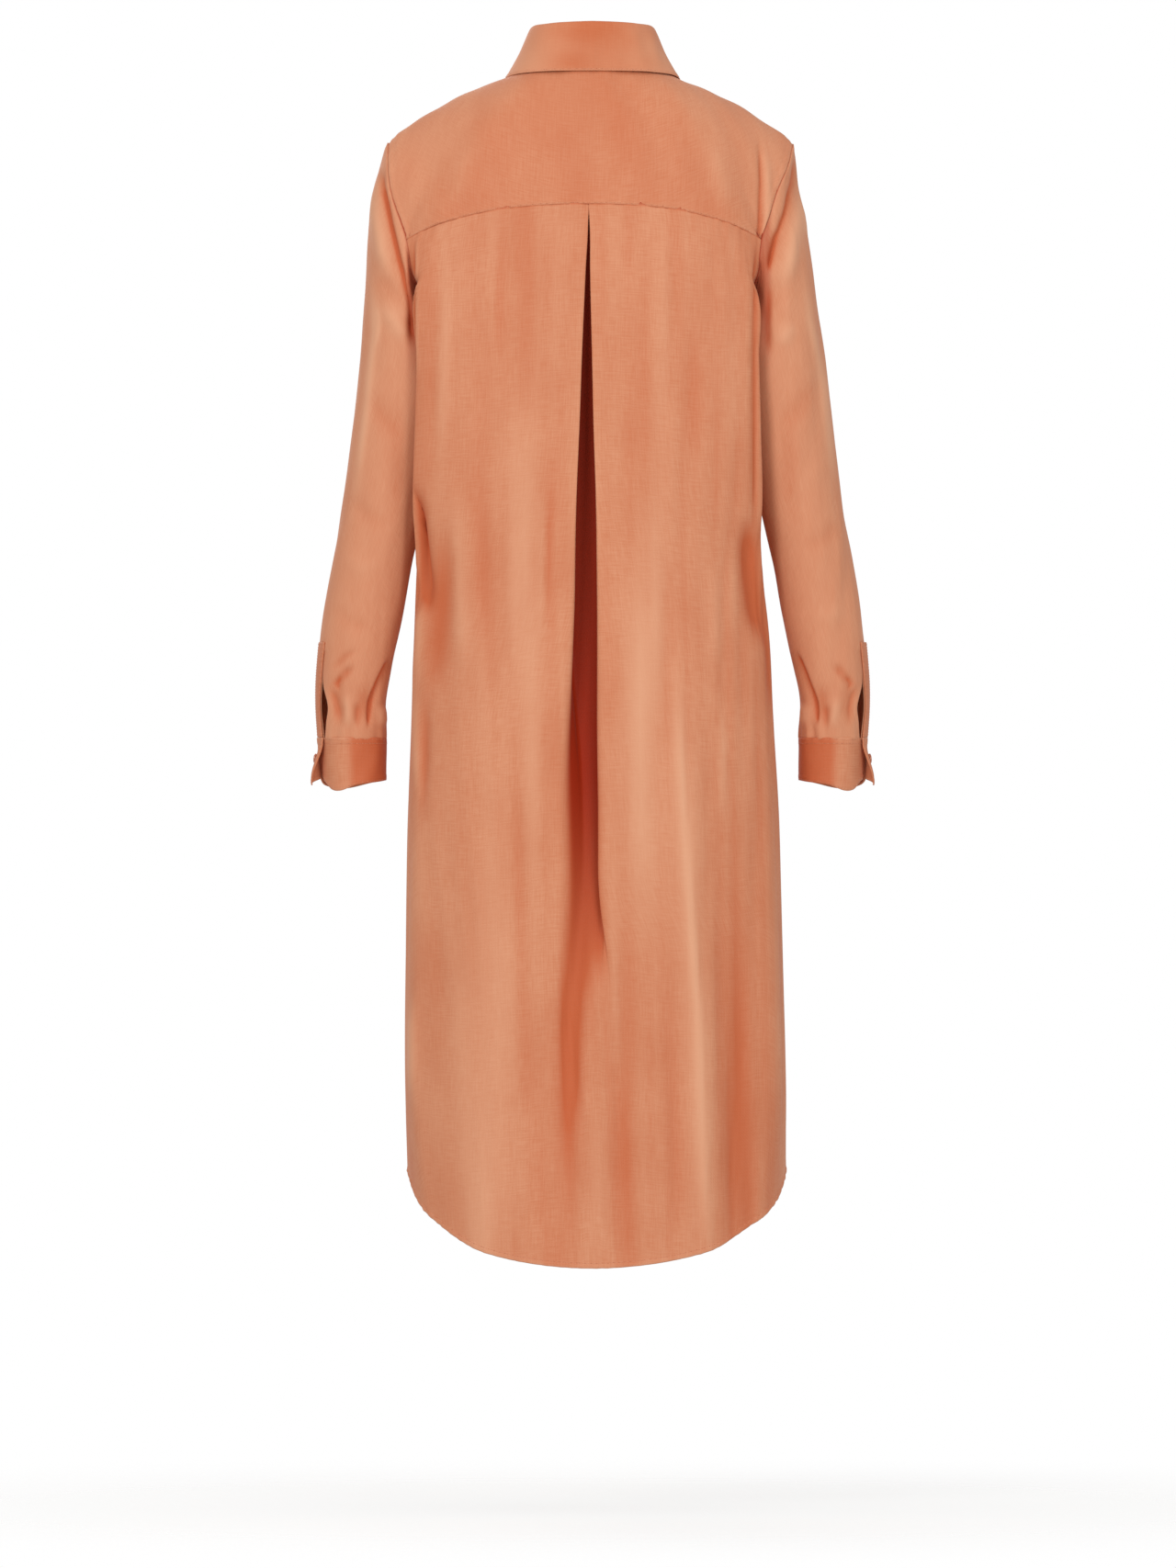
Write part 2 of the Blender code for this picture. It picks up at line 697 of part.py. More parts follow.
def front_points(levels, across):
    """A stretch of the fronts, from the neckline and the yoke seams to the hem."""
    points = net_points(FRONT_NET, FRONT_KNOTS, across, levels)
    top = front_top_edge(across[0])
    points += (top - points[0])[None] * fade(levels, levels[0], 60)[:, None, None]
    fit_edges(points, across, levels, FRONT_TURN)
    points[0, :, 1] -= FRONT_YOKE_GAP / 2
    points[0, :, 2] -= NECK_CLEARANCE * np.clip(1 - np.abs(across[0]) / QUARTER, 0, 1)
    points[np.isclose(np.abs(across), 1), 1] -= HALF_GAP
    return points


def front_left_points(levels, columns):
    """The left front, whose edge lies under the band."""
    start = across_at(-UNDERLAP, FRONT_KNOTS, FRONT_NET, levels)[:, None]
    across = start + (1 - start) * columns[None]
    points = front_points(levels, across)
    under = 1 - smooth_step((points[..., 0] - BAND_HALF_WIDE - 2) / 12)
    points[..., 1] += UNDERLAP_DEPTH * under
    return leaned(points)


def front_right_points(levels, columns):
    """The right front, from its side seam to the band."""
    end = across_at(-BAND_HALF_WIDE - SEAM_GAP, FRONT_KNOTS, FRONT_NET, levels)[:, None]
    across = -1 + (end + 1) * columns[None]
    return leaned(front_points(levels, across))


def front_band_points(levels, columns):
    """The band down the front, from the right front's edge over the left front's."""
    half = across_at(BAND_HALF_WIDE, FRONT_KNOTS, FRONT_NET, levels)[:, None]
    return leaned(front_points(levels, half * (2 * columns - 1)[None]))


def outward_from_neck(angles):
    """Level directions away from the neck."""
    turn = np.radians(angles)
    return np.stack((np.sin(turn), np.cos(turn), np.zeros_like(turn)), axis=-1)


def stand_points(angles, up):
    """The collar stand: rows from the neck seam up, columns from its upper, right end."""
    base = neck_seam(angles)
    base[:, 2] += NECK_CLEARANCE
    turned = np.abs((angles + 180) % 360 - 180)
    height = curve([row[0] for row in STAND_HEIGHTS], [row[1] for row in STAND_HEIGHTS], turned)
    lap = smooth_step((-LAP_ANGLE - angles) / 25) - smooth_step((angles - LAP_ANGLE) / 25)
    outward = outward_from_neck(angles)
    base += outward * lap[:, None] * STAND_LAP_DEPTH
    rise = np.zeros_like(base)
    rise[:, 2] = height
    rise -= outward * STAND_LEAN_IN * np.cos(np.radians(turned / 2))[:, None]
    return leaned(base[None] + rise[None] * np.asarray(up, float)[:, None, None])


def fall_points(angles, down):
    """The collar's fall: rows from the stand's top, over the roll and down to its edge."""
    top = stand_points(angles, (1,))[0]
    outward = outward_from_neck(angles)
    edge = curve([row[0] for row in FALL_EDGE], [row[1] for row in FALL_EDGE], np.abs(angles))
    edge[:, 0] *= np.where(angles < 0, -1, 1)
    stations = []
    for out, up in ROLL:
        stations.append(top + outward * out + np.array((0, 0, up)))
    middle = (stations[-1] + edge) / 2
    stations.append(middle + outward * FALL_BULGE + np.array((0, 0, FALL_BULGE)))
    stations.append(edge)
    path = np.array(stations)
    weights = spline_weights(FALL_KNOTS, down)
    return np.einsum("ds,sac->dac", weights, path)


def sleeve_ring(z, angles, side, outward=0.0):
    """Points of the sleeve at heights and angles round it, moved outwards from its surface."""
    heights = [ring.z for ring in SLEEVE_RINGS][::-1]
    table = np.array([tuple(ring)[1:] for ring in SLEEVE_RINGS])[::-1]
    outer, inner, centre_y, half_depth = np.moveaxis(curve(heights, table, z), -1, 0)
    half_width = (outer - inner) / 2
    turn = np.radians(angles)
    normal = np.stack((np.cos(turn) * half_depth, np.sin(turn) * half_width, np.zeros_like(turn)), -1)
    normal /= np.linalg.norm(normal, axis=-1, keepdims=True)
    x = (outer + inner) / 2 + half_width * np.cos(turn)
    y = centre_y + half_depth * np.sin(turn)
    points = np.stack((x, y, np.broadcast_to(z, x.shape)), axis=-1)
    points += normal * np.asarray(outward)[..., None]
    points[..., 0] *= side
    return points


def cap_points(angles, down, side):
    """The sleeve from the armhole to its first level section."""
    start = armhole(angles, 1)
    start[:, 0] += armhole_clearance(angles)
    top_z = SLEEVE_RINGS[0].z
    end = sleeve_ring(np.full(angles.shape, top_z), angles, 1)
    below = sleeve_ring(np.full(angles.shape, top_z - 20), angles, 1)
    length = np.linalg.norm(end - start, axis=1)[:, None]
    turn = np.radians(angles)
    leave = np.stack((0.15 + 0.1 * np.cos(turn), 0.12 * np.sin(turn), np.full_like(turn, -1)), -1)
    arrive = (below - end) / 20
    down = np.asarray(down, float)[:, None, None]
    points = hermite(start[None], leave[None] * length, end[None], arrive[None] * length, down)
    points[..., 0] *= side
    return leaned(points, 1 - down[..., 0])


def sleeve_points(columns, down, heights, side):
    """A sleeve from its armhole to the cuff, closed down to the slit and open below it."""
    angles = SLIT_ANGLE + 360 * np.asarray(columns, float)
    cap = cap_points(angles, down, side)
    z = np.asarray(heights, float)[:, None]
    gape_z = [row[0] for row in SLIT_GAPE][::-1]
    gape = curve(gape_z, [row[1] for row in SLIT_GAPE][::-1], z) * (z < SLIT_TOP_Z)
    away = np.clip(1 - np.asarray(columns, float) / 0.08, 0, 1) - np.clip((columns - 0.92) / 0.08, 0, 1)
    turned = angles[None] + np.degrees(gape / 2 / SLIT_RADIUS) * away[None]
    tube = sleeve_ring(z + np.zeros_like(turned), turned, side)
    points = np.concatenate((cap, tube), axis=0)
    points[-len(heights):, :, 2] += np.where(z == heights[-1], HALF_GAP, 0)
    points[:-len(heights), -1] = points[:-len(heights), 0]
    closed = (z[:, 0] >= SLIT_TOP_Z).sum()
    first_open = len(cap) + closed
    points[:first_open, -1] = points[:first_open, 0]
    return points


def placket_points(columns, heights, side):
    """The strip over the slit's outer edge, lying on the sleeve."""
    z = np.asarray(heights, float)[:, None]
    gape_z = [row[0] for row in SLIT_GAPE][::-1]
    gape = curve(gape_z, [row[1] for row in SLIT_GAPE][::-1], z) * (z < SLIT_TOP_Z)
    edge = SLIT_ANGLE - np.degrees(gape / 2 / SLIT_RADIUS)
    angles = edge - np.degrees(PLACKET_WIDE / SLIT_RADIUS) * (1 - np.asarray(columns, float))[None]
    return sleeve_ring(z + np.zeros_like(angles), angles, side, CLOTH_THICK + SEAM_GAP)


def cuff_points(columns, down, side):
    """A cuff whose end laps over its start at the slit, with its lower corner turned out."""
    lap = np.degrees(CUFF_OVERLAP / SLIT_RADIUS)
    start = SLIT_ANGLE - lap
    angles = start + (360 + lap) * np.asarray(columns, float)[None]
    over = smooth_step((angles - (SLIT_ANGLE + 360 - lap - 40)) / 40)
    under = 1 - smooth_step((angles - SLIT_ANGLE) / 40)
    hem_z = CUFF_HEM_Z - CUFF_HEM_SLOPE * np.cos(np.radians(angles))
    down = np.asarray(down, float)[:, None]
    z = CUFF_SEAM_Z - HALF_GAP + (hem_z - CUFF_SEAM_Z) * down
    near_end = smooth_step((angles - (SLIT_ANGLE + 360 - 34)) / 34)
    outward = CUFF_LAP_DEPTH * (over - under) + CUFF_FLARE * near_end * smooth_step(down * 1.15)
    return sleeve_ring(z, angles + np.zeros_like(z), side, outward)


def add_sheet(name, points, thickness, material, collection):
    """Bends a flat grid to rows of points and gives it a wall, half to each side.

    Args:
        name: the object's name.
        points: places in millimetres, with the shape (rows, columns, 3).
        thickness: the wall, in millimetres.
        material: the wall's material.
        collection: the collection that takes the object.
    """
    rows, columns = points.shape[:2]
    grid = bmesh.new()
    bmesh.ops.create_grid(grid, x_segments=columns - 1, y_segments=rows - 1, size=1)
    for vertex in grid.verts:
        column = round((vertex.co.x + 1) / 2 * (columns - 1))
        row = round((1 - vertex.co.y) / 2 * (rows - 1))
        vertex.co = Vector(points[row, column] * METRES_PER_MM)
    bmesh.ops.remove_doubles(grid, verts=grid.verts, dist=1e-6)
    for face in grid.faces:
        face.smooth = True
    mesh = bpy.data.meshes.new(name)
    grid.to_mesh(mesh)
    grid.free()
    mesh.materials.append(material)
    sheet = bpy.data.objects.new(name, mesh)
    collection.objects.link(sheet)
    wall = sheet.modifiers.new("wall", "SOLIDIFY")
    wall.thickness = thickness * METRES_PER_MM
    wall.offset = 0
    wall.use_even_offset = True
    wall.use_quality_normals = True
    return sheet


def add_button(name, place, facing, material, collection):
    """A flat round button at a place in millimetres, facing a direction."""
    bpy.ops.mesh.primitive_cylinder_add(
        vertices=BUTTON_SIDES,
        radius=BUTTON_RADIUS * METRES_PER_MM,
        depth=BUTTON_THICK * METRES_PER_MM,
    )
    button = bpy.context.object
    button.name = name
    button.data.name = name
    button.data.materials.append(material)
    button.location = Vector(place * METRES_PER_MM)
    button.rotation_euler = Vector(facing).to_track_quat("Z", "Y").to_euler()
    for holder in list(button.users_collection):
        holder.objects.unlink(button)
    collection.objects.link(button)
    return button


def surface_normal(down, over):
    """Direction away from the garment, from steps down it and to the wearer's left."""
    normal = np.cross(down, over)
    return normal / np.linalg.norm(normal)


def front_button_places():
    """Centres and directions of the front's buttons, on the middle of the band."""
    levels = FIRST_BUTTON_LEVEL + BUTTON_SPACING * np.arange(BUTTON_COUNT)
    places = []
    for level in levels:
        rows = np.array((FRONT_KNOTS[0], level - 4, level, level + 4))
        strip = front_band_points(rows, np.array((0.4, 0.5, 0.6)))
        normal = surface_normal(strip[3, 1] - strip[1, 1], strip[2, 2] - strip[2, 0])
        places.append((strip[2, 1], -normal if normal[1] > 0 else normal))
    return places


def cuff_button_place(side):
    """Centre and direction of a cuff's button, on its over-lapping end."""
    lap = np.degrees(CUFF_OVERLAP / SLIT_RADIUS)
    column = 1 - (lap / 2) / (360 + lap)
    patch = cuff_points((column - 0.01, column, column + 0.01), (0.4, 0.5, 0.6), side)
    normal = surface_normal(patch[2, 1] - patch[0, 1], patch[1, 2] - patch[1, 0])
    outward = normal if normal[0] * side > 0 else -normal
    return patch[1, 1], outward


def add_buttons(material, collection):
    """The buttons of the stand, the front and the cuffs."""
    lift = SEAM_GAP + BUTTON_THICK / 2
    stand = stand_points(np.array((-180.0,)), (0.5,))[0, 0]
    facing = np.array((0.0, -1.0, 0.05))
    spots = [(stand, facing, LAYERED_THICK)]
    spots += [(place, normal, CLOTH_THICK) for place, normal in front_button_places()]
    spots += [cuff_button_place(side) + (LAYERED_THICK,) for side in (1, -1)]
    for index, (place, normal, wall) in enumerate(spots, start=1):
        centre = place + normal * (wall / 2 + lift)
        add_button(f"button_{index:02d}", centre, normal, material, collection)


def main():
    """Builds the dress."""
    clear_scene()
    collection = make_collection(GARMENT)
    cloth = make_material("terracotta_cloth", TERRACOTTA, CLOTH_ROUGHNESS)
    trim = make_material("terracotta_trim", TERRACOTTA_DARK, CLOTH_ROUGHNESS)
    shell = make_material("dyed_button", BUTTON_COLOUR, BUTTON_ROUGHNESS)

    back_levels = np.array(BACK_LEVELS, float)
    back = back_panel_points(back_levels, np.linspace(0, 1, OUTER_COLUMNS), np.array(PLEAT_SHARES, float))
    add_sheet("back_panel", back, CLOTH_THICK, cloth, collection)

    yoke = yoke_points(yoke_columns(back_levels), np.linspace(0, 1, YOKE_ROWS))
    add_sheet("back_yoke", yoke, CLOTH_THICK, cloth, collection)

    front_levels = np.array(FRONT_LEVELS, float)
    columns = np.linspace(0, 1, FRONT_COLUMNS)
    add_sheet("front_left", front_left_points(front_levels, columns), CLOTH_THICK, cloth, collection)
    add_sheet("front_right", front_right_points(front_levels, columns), CLOTH_THICK, cloth, collection)
    band = front_band_points(front_levels, np.linspace(0, 1, 3))
    add_sheet("front_band", band, CLOTH_THICK, trim, collection)

    fall_angles = np.linspace(-FALL_END_ANGLE, FALL_END_ANGLE, COLLAR_COLUMNS)
    lap_angle = 180 + STAND_OVERLAP_ANGLE
    stand_angles = np.concatenate(((-lap_angle,), fall_angles, (lap_angle,)))
    add_sheet("collar_stand", stand_points(stand_angles, (0, 0.5, 1)), LAYERED_THICK, cloth, collection)
    add_sheet("collar_fall", fall_points(fall_angles, FALL_ROWS), LAYERED_THICK, cloth, collection)

    sleeve_columns = np.linspace(0, 1, SLEEVE_COLUMNS)
    for side, name in ((1, "left"), (-1, "right")):
        sleeve = sleeve_points(sleeve_columns, CAP_ROWS, SLEEVE_HEIGHTS, side)
        add_sheet(f"sleeve_{name}", sleeve, CLOTH_THICK, cloth, collection)
        placket = placket_points(np.linspace(0, 1, 4), PLACKET_HEIGHTS, side)
        add_sheet(f"sleeve_placket_{name}", placket, CLOTH_THICK, trim, collection)
        cuff = cuff_points(np.linspace(0, 1, CUFF_COLUMNS), (0, 0.33, 0.67, 1), side)
        add_sheet(f"cuff_{name}", cuff, LAYERED_THICK, cloth, collection)

    add_buttons(shell, collection)


if __name__ == "__main__":
    main()
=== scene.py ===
"""The looks of a long-sleeved shirt dress in its worn form (Blender 4.5).

Sizes in the tables are millimetres and become metres where the meshes are made. +Z is up,
the front faces -Y and +X is the wearer's left. Each piece of cloth is a fine sheet bent over
the garment's form, with its folds, seams and stitching, and stands for the plain solid of the
same part of the frame.
"""

from __future__ import annotations

import logging
import math
from dataclasses import dataclass, field
from enum import Enum
from typing import Any, NamedTuple, Sequence

import bmesh
import bpy
import numpy as np
from mathutils import Matrix, Vector


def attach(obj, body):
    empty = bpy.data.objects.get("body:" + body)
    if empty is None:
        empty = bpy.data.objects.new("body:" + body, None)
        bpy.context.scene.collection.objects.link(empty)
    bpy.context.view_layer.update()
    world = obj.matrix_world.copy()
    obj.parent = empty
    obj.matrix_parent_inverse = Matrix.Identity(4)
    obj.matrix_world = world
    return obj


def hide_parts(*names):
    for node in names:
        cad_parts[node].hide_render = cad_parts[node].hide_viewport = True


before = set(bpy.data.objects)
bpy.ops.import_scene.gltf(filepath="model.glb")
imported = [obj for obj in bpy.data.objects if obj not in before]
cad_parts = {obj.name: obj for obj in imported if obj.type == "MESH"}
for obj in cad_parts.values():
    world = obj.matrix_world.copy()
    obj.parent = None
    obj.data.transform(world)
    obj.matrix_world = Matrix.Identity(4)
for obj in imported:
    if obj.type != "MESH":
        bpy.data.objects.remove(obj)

LOG = logging.getLogger("shirt_dress")
METRES_PER_MM = 0.001
BODY = "root"
CLOTH_MAP = "cloth_metres"
PRESSED = "pressed"
RELIEF = "relief"
# The attribute of painted deep red shade in deep folds and recesses
PAINTED_DEEP_SHADE = "painted_deep_shade"

# A fold this high or deep, in mm, gets the full painted highlight or the full painted shade
RELIEF_HEIGHT = 4.0

# Points of a sheet this near are one, in metres
WELD_DISTANCE = 2e-6

Points = np.ndarray
Place = tuple[float, float, float]
Spot = tuple[float, float]
# A line's points and the outward directions there
Run = tuple[Points, Points]


# --------------------------------------------------------------------------- curves


def spline_weights(knots: Sequence[float], at: Sequence[float]) -> np.ndarray:
    """Shares of the values at the knots that make a smooth curve through them.

    Args:
        knots: rising places of the known values.
        at: places at which the curve is read.

    Returns:
        A row for each place in `at`, with a column for each knot.
    """
    knots = np.asarray(knots, float)
    at = np.clip(np.asarray(at, float), knots[0], knots[-1])
    count = len(knots)
    unit = np.eye(count)
    slope = np.zeros((count, count))
    for index in range(count):
        low = max(index - 1, 0)
        high = min(index + 1, count - 1)
        slope[index] = (unit[high] - unit[low]) / (knots[high] - knots[low])
    cell = np.clip(np.searchsorted(knots, at, side="right") - 1, 0, count - 2)
    step = knots[cell + 1] - knots[cell]
    t = (at - knots[cell]) / step
    rise = t * t * (3 - 2 * t)
    leave = t * (1 - t) ** 2 * step
    arrive = -t * t * (1 - t) * step
    weights = (1 - rise)[:, None] * unit[cell] + rise[:, None] * unit[cell + 1]
    return weights + leave[:, None] * slope[cell] + arrive[:, None] * slope[cell + 1]


def curve(knots: Sequence[float], values: Any, at: Any) -> np.ndarray:
    """Reads a smooth curve through the values at the knots.

    Args:
        knots: rising places of the values.
        values: a number or a row of numbers for each knot.
        at: places at which the curve is read, of any shape.

    Returns:
        The values there, in the shape of `at`.
    """
    shape = np.shape(at)
    result = spline_weights(knots, np.ravel(at)) @ np.asarray(values, float)
    return result.reshape(shape + result.shape[1:])


def curve_through(rows: Sequence[Sequence], at: Any) -> np.ndarray:
    """Reads a smooth curve through rows of a place and its value, in any order."""
    rows = sorted(rows)
    return curve([row[0] for row in rows], [row[1] for row in rows], at)


def smooth_step(t: Any) -> np.ndarray:
    """Eases from 0 to 1."""
    t = np.clip(t, 0, 1)
    return t * t * (3 - 2 * t)


def between(values: Any, start: float, end: float) -> np.ndarray:
    """Eases from 0 at the start to 1 at the end."""
    return smooth_step((values - start) / (end - start))


def hermite(start: Any, start_slope: Any, end: Any, end_slope: Any, share: Any) -> np.ndarray:
    """Reads a cubic between two ends.

    Args:
        start: where it starts.
        start_slope: its slope there.
        end: where it ends.
        end_slope: its slope there.
        share: shares of the way, 0 to 1.

    Returns:
        The places at those shares.
    """
    t = np.asarray(share, float)
    rise = t * t * (3 - 2 * t)
    leave = t * (1 - t) ** 2
    arrive = t * t * (1 - t)
    return start + rise * (end - start) + leave * start_slope - arrive * end_slope


def fade(levels: np.ndarray, start: float, reach: float) -> np.ndarray:
    """1 at the start level, easing to 0 at `reach` below it."""
    return (1 - np.clip((levels - start) / reach, 0, 1)) ** 2


def near_edges(low: float, high: float, count: int, edge: float, close: float) -> np.ndarray:
    """Places from low to high, closer together beside both ends.

    Args:
        low: the first place.
        high: the last place.
        count: how many places lie between the close ones.
        edge: the width at each end with close places.
        close: the step between close places.

    Returns:
        The rising places.
    """
    fine = np.arange(0, edge, close)
    return np.concatenate((low + fine, np.linspace(low + edge, high - edge, count), high - fine[::-1]))


# --------------------------------------------------------------------------- the form


class Side(Enum):
    """A side of the wearer."""

    LEFT = 1
    RIGHT = -1

    @property
    def word(self) -> str:
        """The side's name in the parts' names."""
        return self.name.lower()


class Section(NamedTuple):
    """Half of a level section, from the centre line to the side seam."""

    level: float
    centre_y: float
    quarter: Spot
    ear: Spot
    tuck: Spot
    side: Spot


class Lean(NamedTuple):
    """How far the dress hangs to the wearer's left at a height, in the middle and at its sides."""

    z: float
    middle: float
    sides: float


class NeckPoint(NamedTuple):
    """A point of the neck seam, by its angle from the centre back."""

    angle: float
    place: Place


class YokeLine(NamedTuple):
    """A line over the yoke, by its place round it, with its directions at both ends."""

    share: float
    neck_angle: float
    leave: Place
    arrive: Place


class Ring(NamedTuple):
    """A level section of the left sleeve."""

    z: float
    outer_x: float
    inner_x: float
    centre_y: float
    half_depth: float


@dataclass(frozen=True)
class Clearances:
    """How far the pieces stop short of their seams."""

    seam: float = 0.4
    front_yoke: float = 0.8
    neck: float = 1.2
    armhole: float = 0.7
    underarm: float = 1.4

    @property
    def half_seam(self) -> float:
        """Each piece's share of the gap at a seam."""
        return self.seam / 2


GAPS = Clearances()

# Across a half panel: shares of its width at which a section's points lie, the last of them
# on the other panel beyond the side seam
ACROSS = (0.0, 0.4, 0.68, 0.86, 1.0, 1.14)
QUARTER = ACROSS[1]
FULL_ACROSS = tuple(-share for share in ACROSS[:0:-1]) + ACROSS
CENTRE_COLUMN = len(ACROSS) - 1

BACK_SECTIONS = (
    Section(-240, 108, (94, 103), (181, 75), (159, 47), (147, 4.8)),
    Section(-300, 108, (96, 102), (180, 73), (148, 41), (135, 4)),
    Section(-380, 106, (98, 101), (181, 67), (160, 39), (147, 2)),
    Section(-450, 105, (99, 100), (181, 60), (174, 34), (162, 0)),
    Section(-514, 106, (101, 99), (175, 55), (182, 28), (178, -2)),
    Section(-600, 110, (105, 101), (173, 58), (187, 28), (187, -3)),
    Section(-690, 114, (108, 104), (176, 60), (190, 30), (191, -4)),
    Section(-800, 119, (111, 107), (180, 63), (195, 31), (196, -4)),
    Section(-950, 125, (113, 111), (183, 66), (198, 32), (199, -5)),
    Section(-1080, 131, (114, 116), (184, 69), (199, 34), (201, -5)),
)
FRONT_SECTIONS = (
    Section(-240, -126, (92, -114), (150, -76), (148, -42), (147, 4.8)),
    Section(-300, -130, (98, -119), (160, -82), (147, -44), (135, 4)),
    Section(-380, -131, (100, -119), (163, -80), (156, -42), (147, 2)),
    Section(-450, -131, (102, -118), (167, -76), (169, -40), (162, 0)),
    Section(-514, -131, (104, -117), (171, -71), (181, -36), (178, -2)),
    Section(-600, -132, (107, -118), (174, -71), (187, -37), (187, -3)),
    Section(-690, -134, (109, -119), (177, -72), (190, -39), (191, -4)),
    Section(-800, -137, (111, -121), (181, -73), (195, -40), (196, -4)),
    Section(-950, -141, (113, -124), (184, -75), (198, -41), (199, -5)),
    Section(-1080, -145, (114, -127), (186, -77), (200, -42), (201, -5)),
)

# Rows of points above the sections and at the hems: centre, quarter, ear, tuck, side
BACK_SEAM_ROW = ((0, 103, -140), (88, 100, -145), (146, 86, -158), (172, 72, -168), (188, 60, -176))
BACK_ARMHOLE_ROW = ((0, 107, -205), (92, 103, -206), (162, 82, -208), (179, 68, -209), (182, 56, -208))
BACK_HEM_ROW = ((0, 140, -1259), (112, 122, -1244), (173, 78, -1209), (192, 42, -1186), (200, -5, -1161))
FRONT_TOP_ROW = ((0, -74, -60), (59, -32, -12), (118, -26, -30), (168, -25, -58), (207, -23, -88))
FRONT_SHOULDER_ROW = ((0, -84, -86), (68, -60, -47), (125, -50, -57), (171, -42, -84), (199, -37, -113))
FRONT_CHEST_ROW = ((0, -97, -118), (76, -86, -112), (134, -68, -122), (168, -58, -132), (190, -50, -140))
FRONT_ARMHOLE_ROW = ((0, -114, -178), (86, -101, -178), (142, -75, -182), (163, -60, -186), (172, -50, -190))
FRONT_HEM_ROW = ((0, -151, -1216), (112, -132, -1204), (176, -84, -1182), (194, -48, -1170), (200, -5, -1161))

BACK_KNOTS = (140, 205) + tuple(-row.level for row in BACK_SECTIONS) + (1259,)
FRONT_KNOTS = (60, 85, 118, 178) + tuple(-row.level for row in FRONT_SECTIONS) + (1216,)

LEANS = (
    Lean(60, 0, 0),
    Lean(-50, 1, 1),
    Lean(-90, 2, 4),
    Lean(-125, 4, 9),
    Lean(-175, 4, 9),
    Lean(-210, 5, 8),
    Lean(-300, 6, 5),
    Lean(-470, 7, 5),
    Lean(-600, 7, 1),
    Lean(-690, 5.5, 0),
    Lean(-850, 2, -1.5),
    Lean(-1060, 0, -3),
    Lean(-1260, 0, -6),
)
LEAN_REACH = 180

NECK = (
    NeckPoint(0, (0, 60, 10)),
    NeckPoint(45, (45, 43, 9)),
    NeckPoint(90, (62, 2, 5)),
    NeckPoint(122, (51, -37, -19)),
    NeckPoint(152, (30, -62, -44)),
    NeckPoint(180, (0, -72, -58)),
)
FRONT_YOKE_ANGLE = 113

# The armhole by its angle round the arm: 0 shoulder point, 90 back, 180 underarm, 270 front
ARMHOLE = (
    (0, (214, 0, -75)),
    (30, (212, 28, -96)),
    (62, (203, 48, -130)),
    (90, BACK_SEAM_ROW[-1]),
    (118, (183, 53, -212)),
    (148, (171, 34, -231)),
    (180, (147, 4.8, -238)),
    (212, (153, -26, -225)),
    (245, (169, -47, -190)),
    (282, (188, -50, -142)),
    (325, (207, -23, -88)),
)
YOKE_CORNER_ANGLE = 90
FRONT_CORNER_ANGLE = -35

# The armhole's angle at levels down the panels' edges, to the underarm
BACK_TURN = ((140, 90), (166, 101), (207, 117), (227, 141), (240, 180))
FRONT_TURN = ((60, 325), (118, 282), (178, 245), (222, 212), (240, 180))
# Where across a half panel its edge starts to follow the seams, and how far the armhole's
# clearance runs on below the underarm
FITTED_FROM = 0.62
UNDERARM_FADE = 50
# The seams' top edges ease into the panels over this height
TOP_FADE = 60

YOKE_CORNER_SHARE = 0.5
YOKE_LINES = (
    YokeLine(0.0, 0, (0, 0.66, -0.75), (0, 0.08, -1.0)),
    YokeLine(0.25, 24, (0.36, 0.58, -0.70), (0.10, 0.02, -1.0)),
    YokeLine(0.5, 50, (0.72, 0.58, -0.38), (0.32, -0.10, -0.94)),
    YokeLine(0.86, 95, (0.95, 0.0, -0.30), (0.75, 0.0, -0.66)),
    YokeLine(1.0, 113, (0.88, -0.30, -0.35), (0.62, -0.25, -0.74)),
)

SLEEVE_RINGS = (
    Ring(-300, 245.5, 146, 1, 57),
    Ring(-340, 250.5, 153, -2, 55),
    Ring(-427, 260.5, 169, -8, 51),
    Ring(-514, 275, 191, -14, 47),
    Ring(-572, 285, 201.5, -20, 45),
    Ring(-630, 291, 214, -25, 43),
    Ring(-665, 292, 220, -28, 41),
    Ring(-700, 290, 219, -31, 38),
    Ring(-760, 286, 219.5, -35, 37),
)


def leaned(points: Points, share: Any = 1.0) -> Points:
    """Moves points sideways as the dress leans at their height.

    Args:
        points: the places.
        share: how much of the lean they take.

    Returns:
        The moved places.
    """
    outward = np.clip(np.abs(points[..., 0]) / LEAN_REACH, 0, 1) ** 2
    middle = curve_through([(lean.z, lean.middle) for lean in LEANS], points[..., 2])
    sides = curve_through([(lean.z, lean.sides) for lean in LEANS], points[..., 2])
    moved = points.copy()
    moved[..., 0] += ((1 - outward) * middle + outward * sides) * share
    return moved


def neck_seam(angles: Any) -> Points:
    """Points of the neck seam at angles from the centre back, positive to the wearer's left."""
    angles = (np.asarray(angles, float) + 180) % 360 - 180
    # The points next to both ends are repeated on the other side
    before, after = (np.array(point.place) * (-1, 1, 1) for point in (NECK[1], NECK[-2]))
    rows = [(-NECK[1].angle, before), *NECK, (360 - NECK[-2].angle, after)]
    points = curve_through(rows, np.abs(angles))
    points[..., 0] *= np.where(angles < 0, -1, 1)
    return points


def armhole(angles: Any, side: int) -> Points:
    """Points of an armhole seam at angles round the arm; side is 1 for left, -1 for right."""
    (last, last_place), (first, first_place), (second, second_place) = ARMHOLE[-1], *ARMHOLE[:2]
    rows = [(last - 360, last_place), *ARMHOLE, (first + 360, first_place), (second + 360, second_place)]
    points = curve_through(rows, np.asarray(angles, float) % 360)
    points[..., 0] *= side
    return points


def armhole_clearance(angles: Any) -> np.ndarray:
    """How far the cloth stops from the armhole seam, more where the walls run side by side."""
    underarm = (1 - np.cos(np.radians(angles))) / 2
    return GAPS.armhole + (GAPS.underarm - GAPS.armhole) * underarm


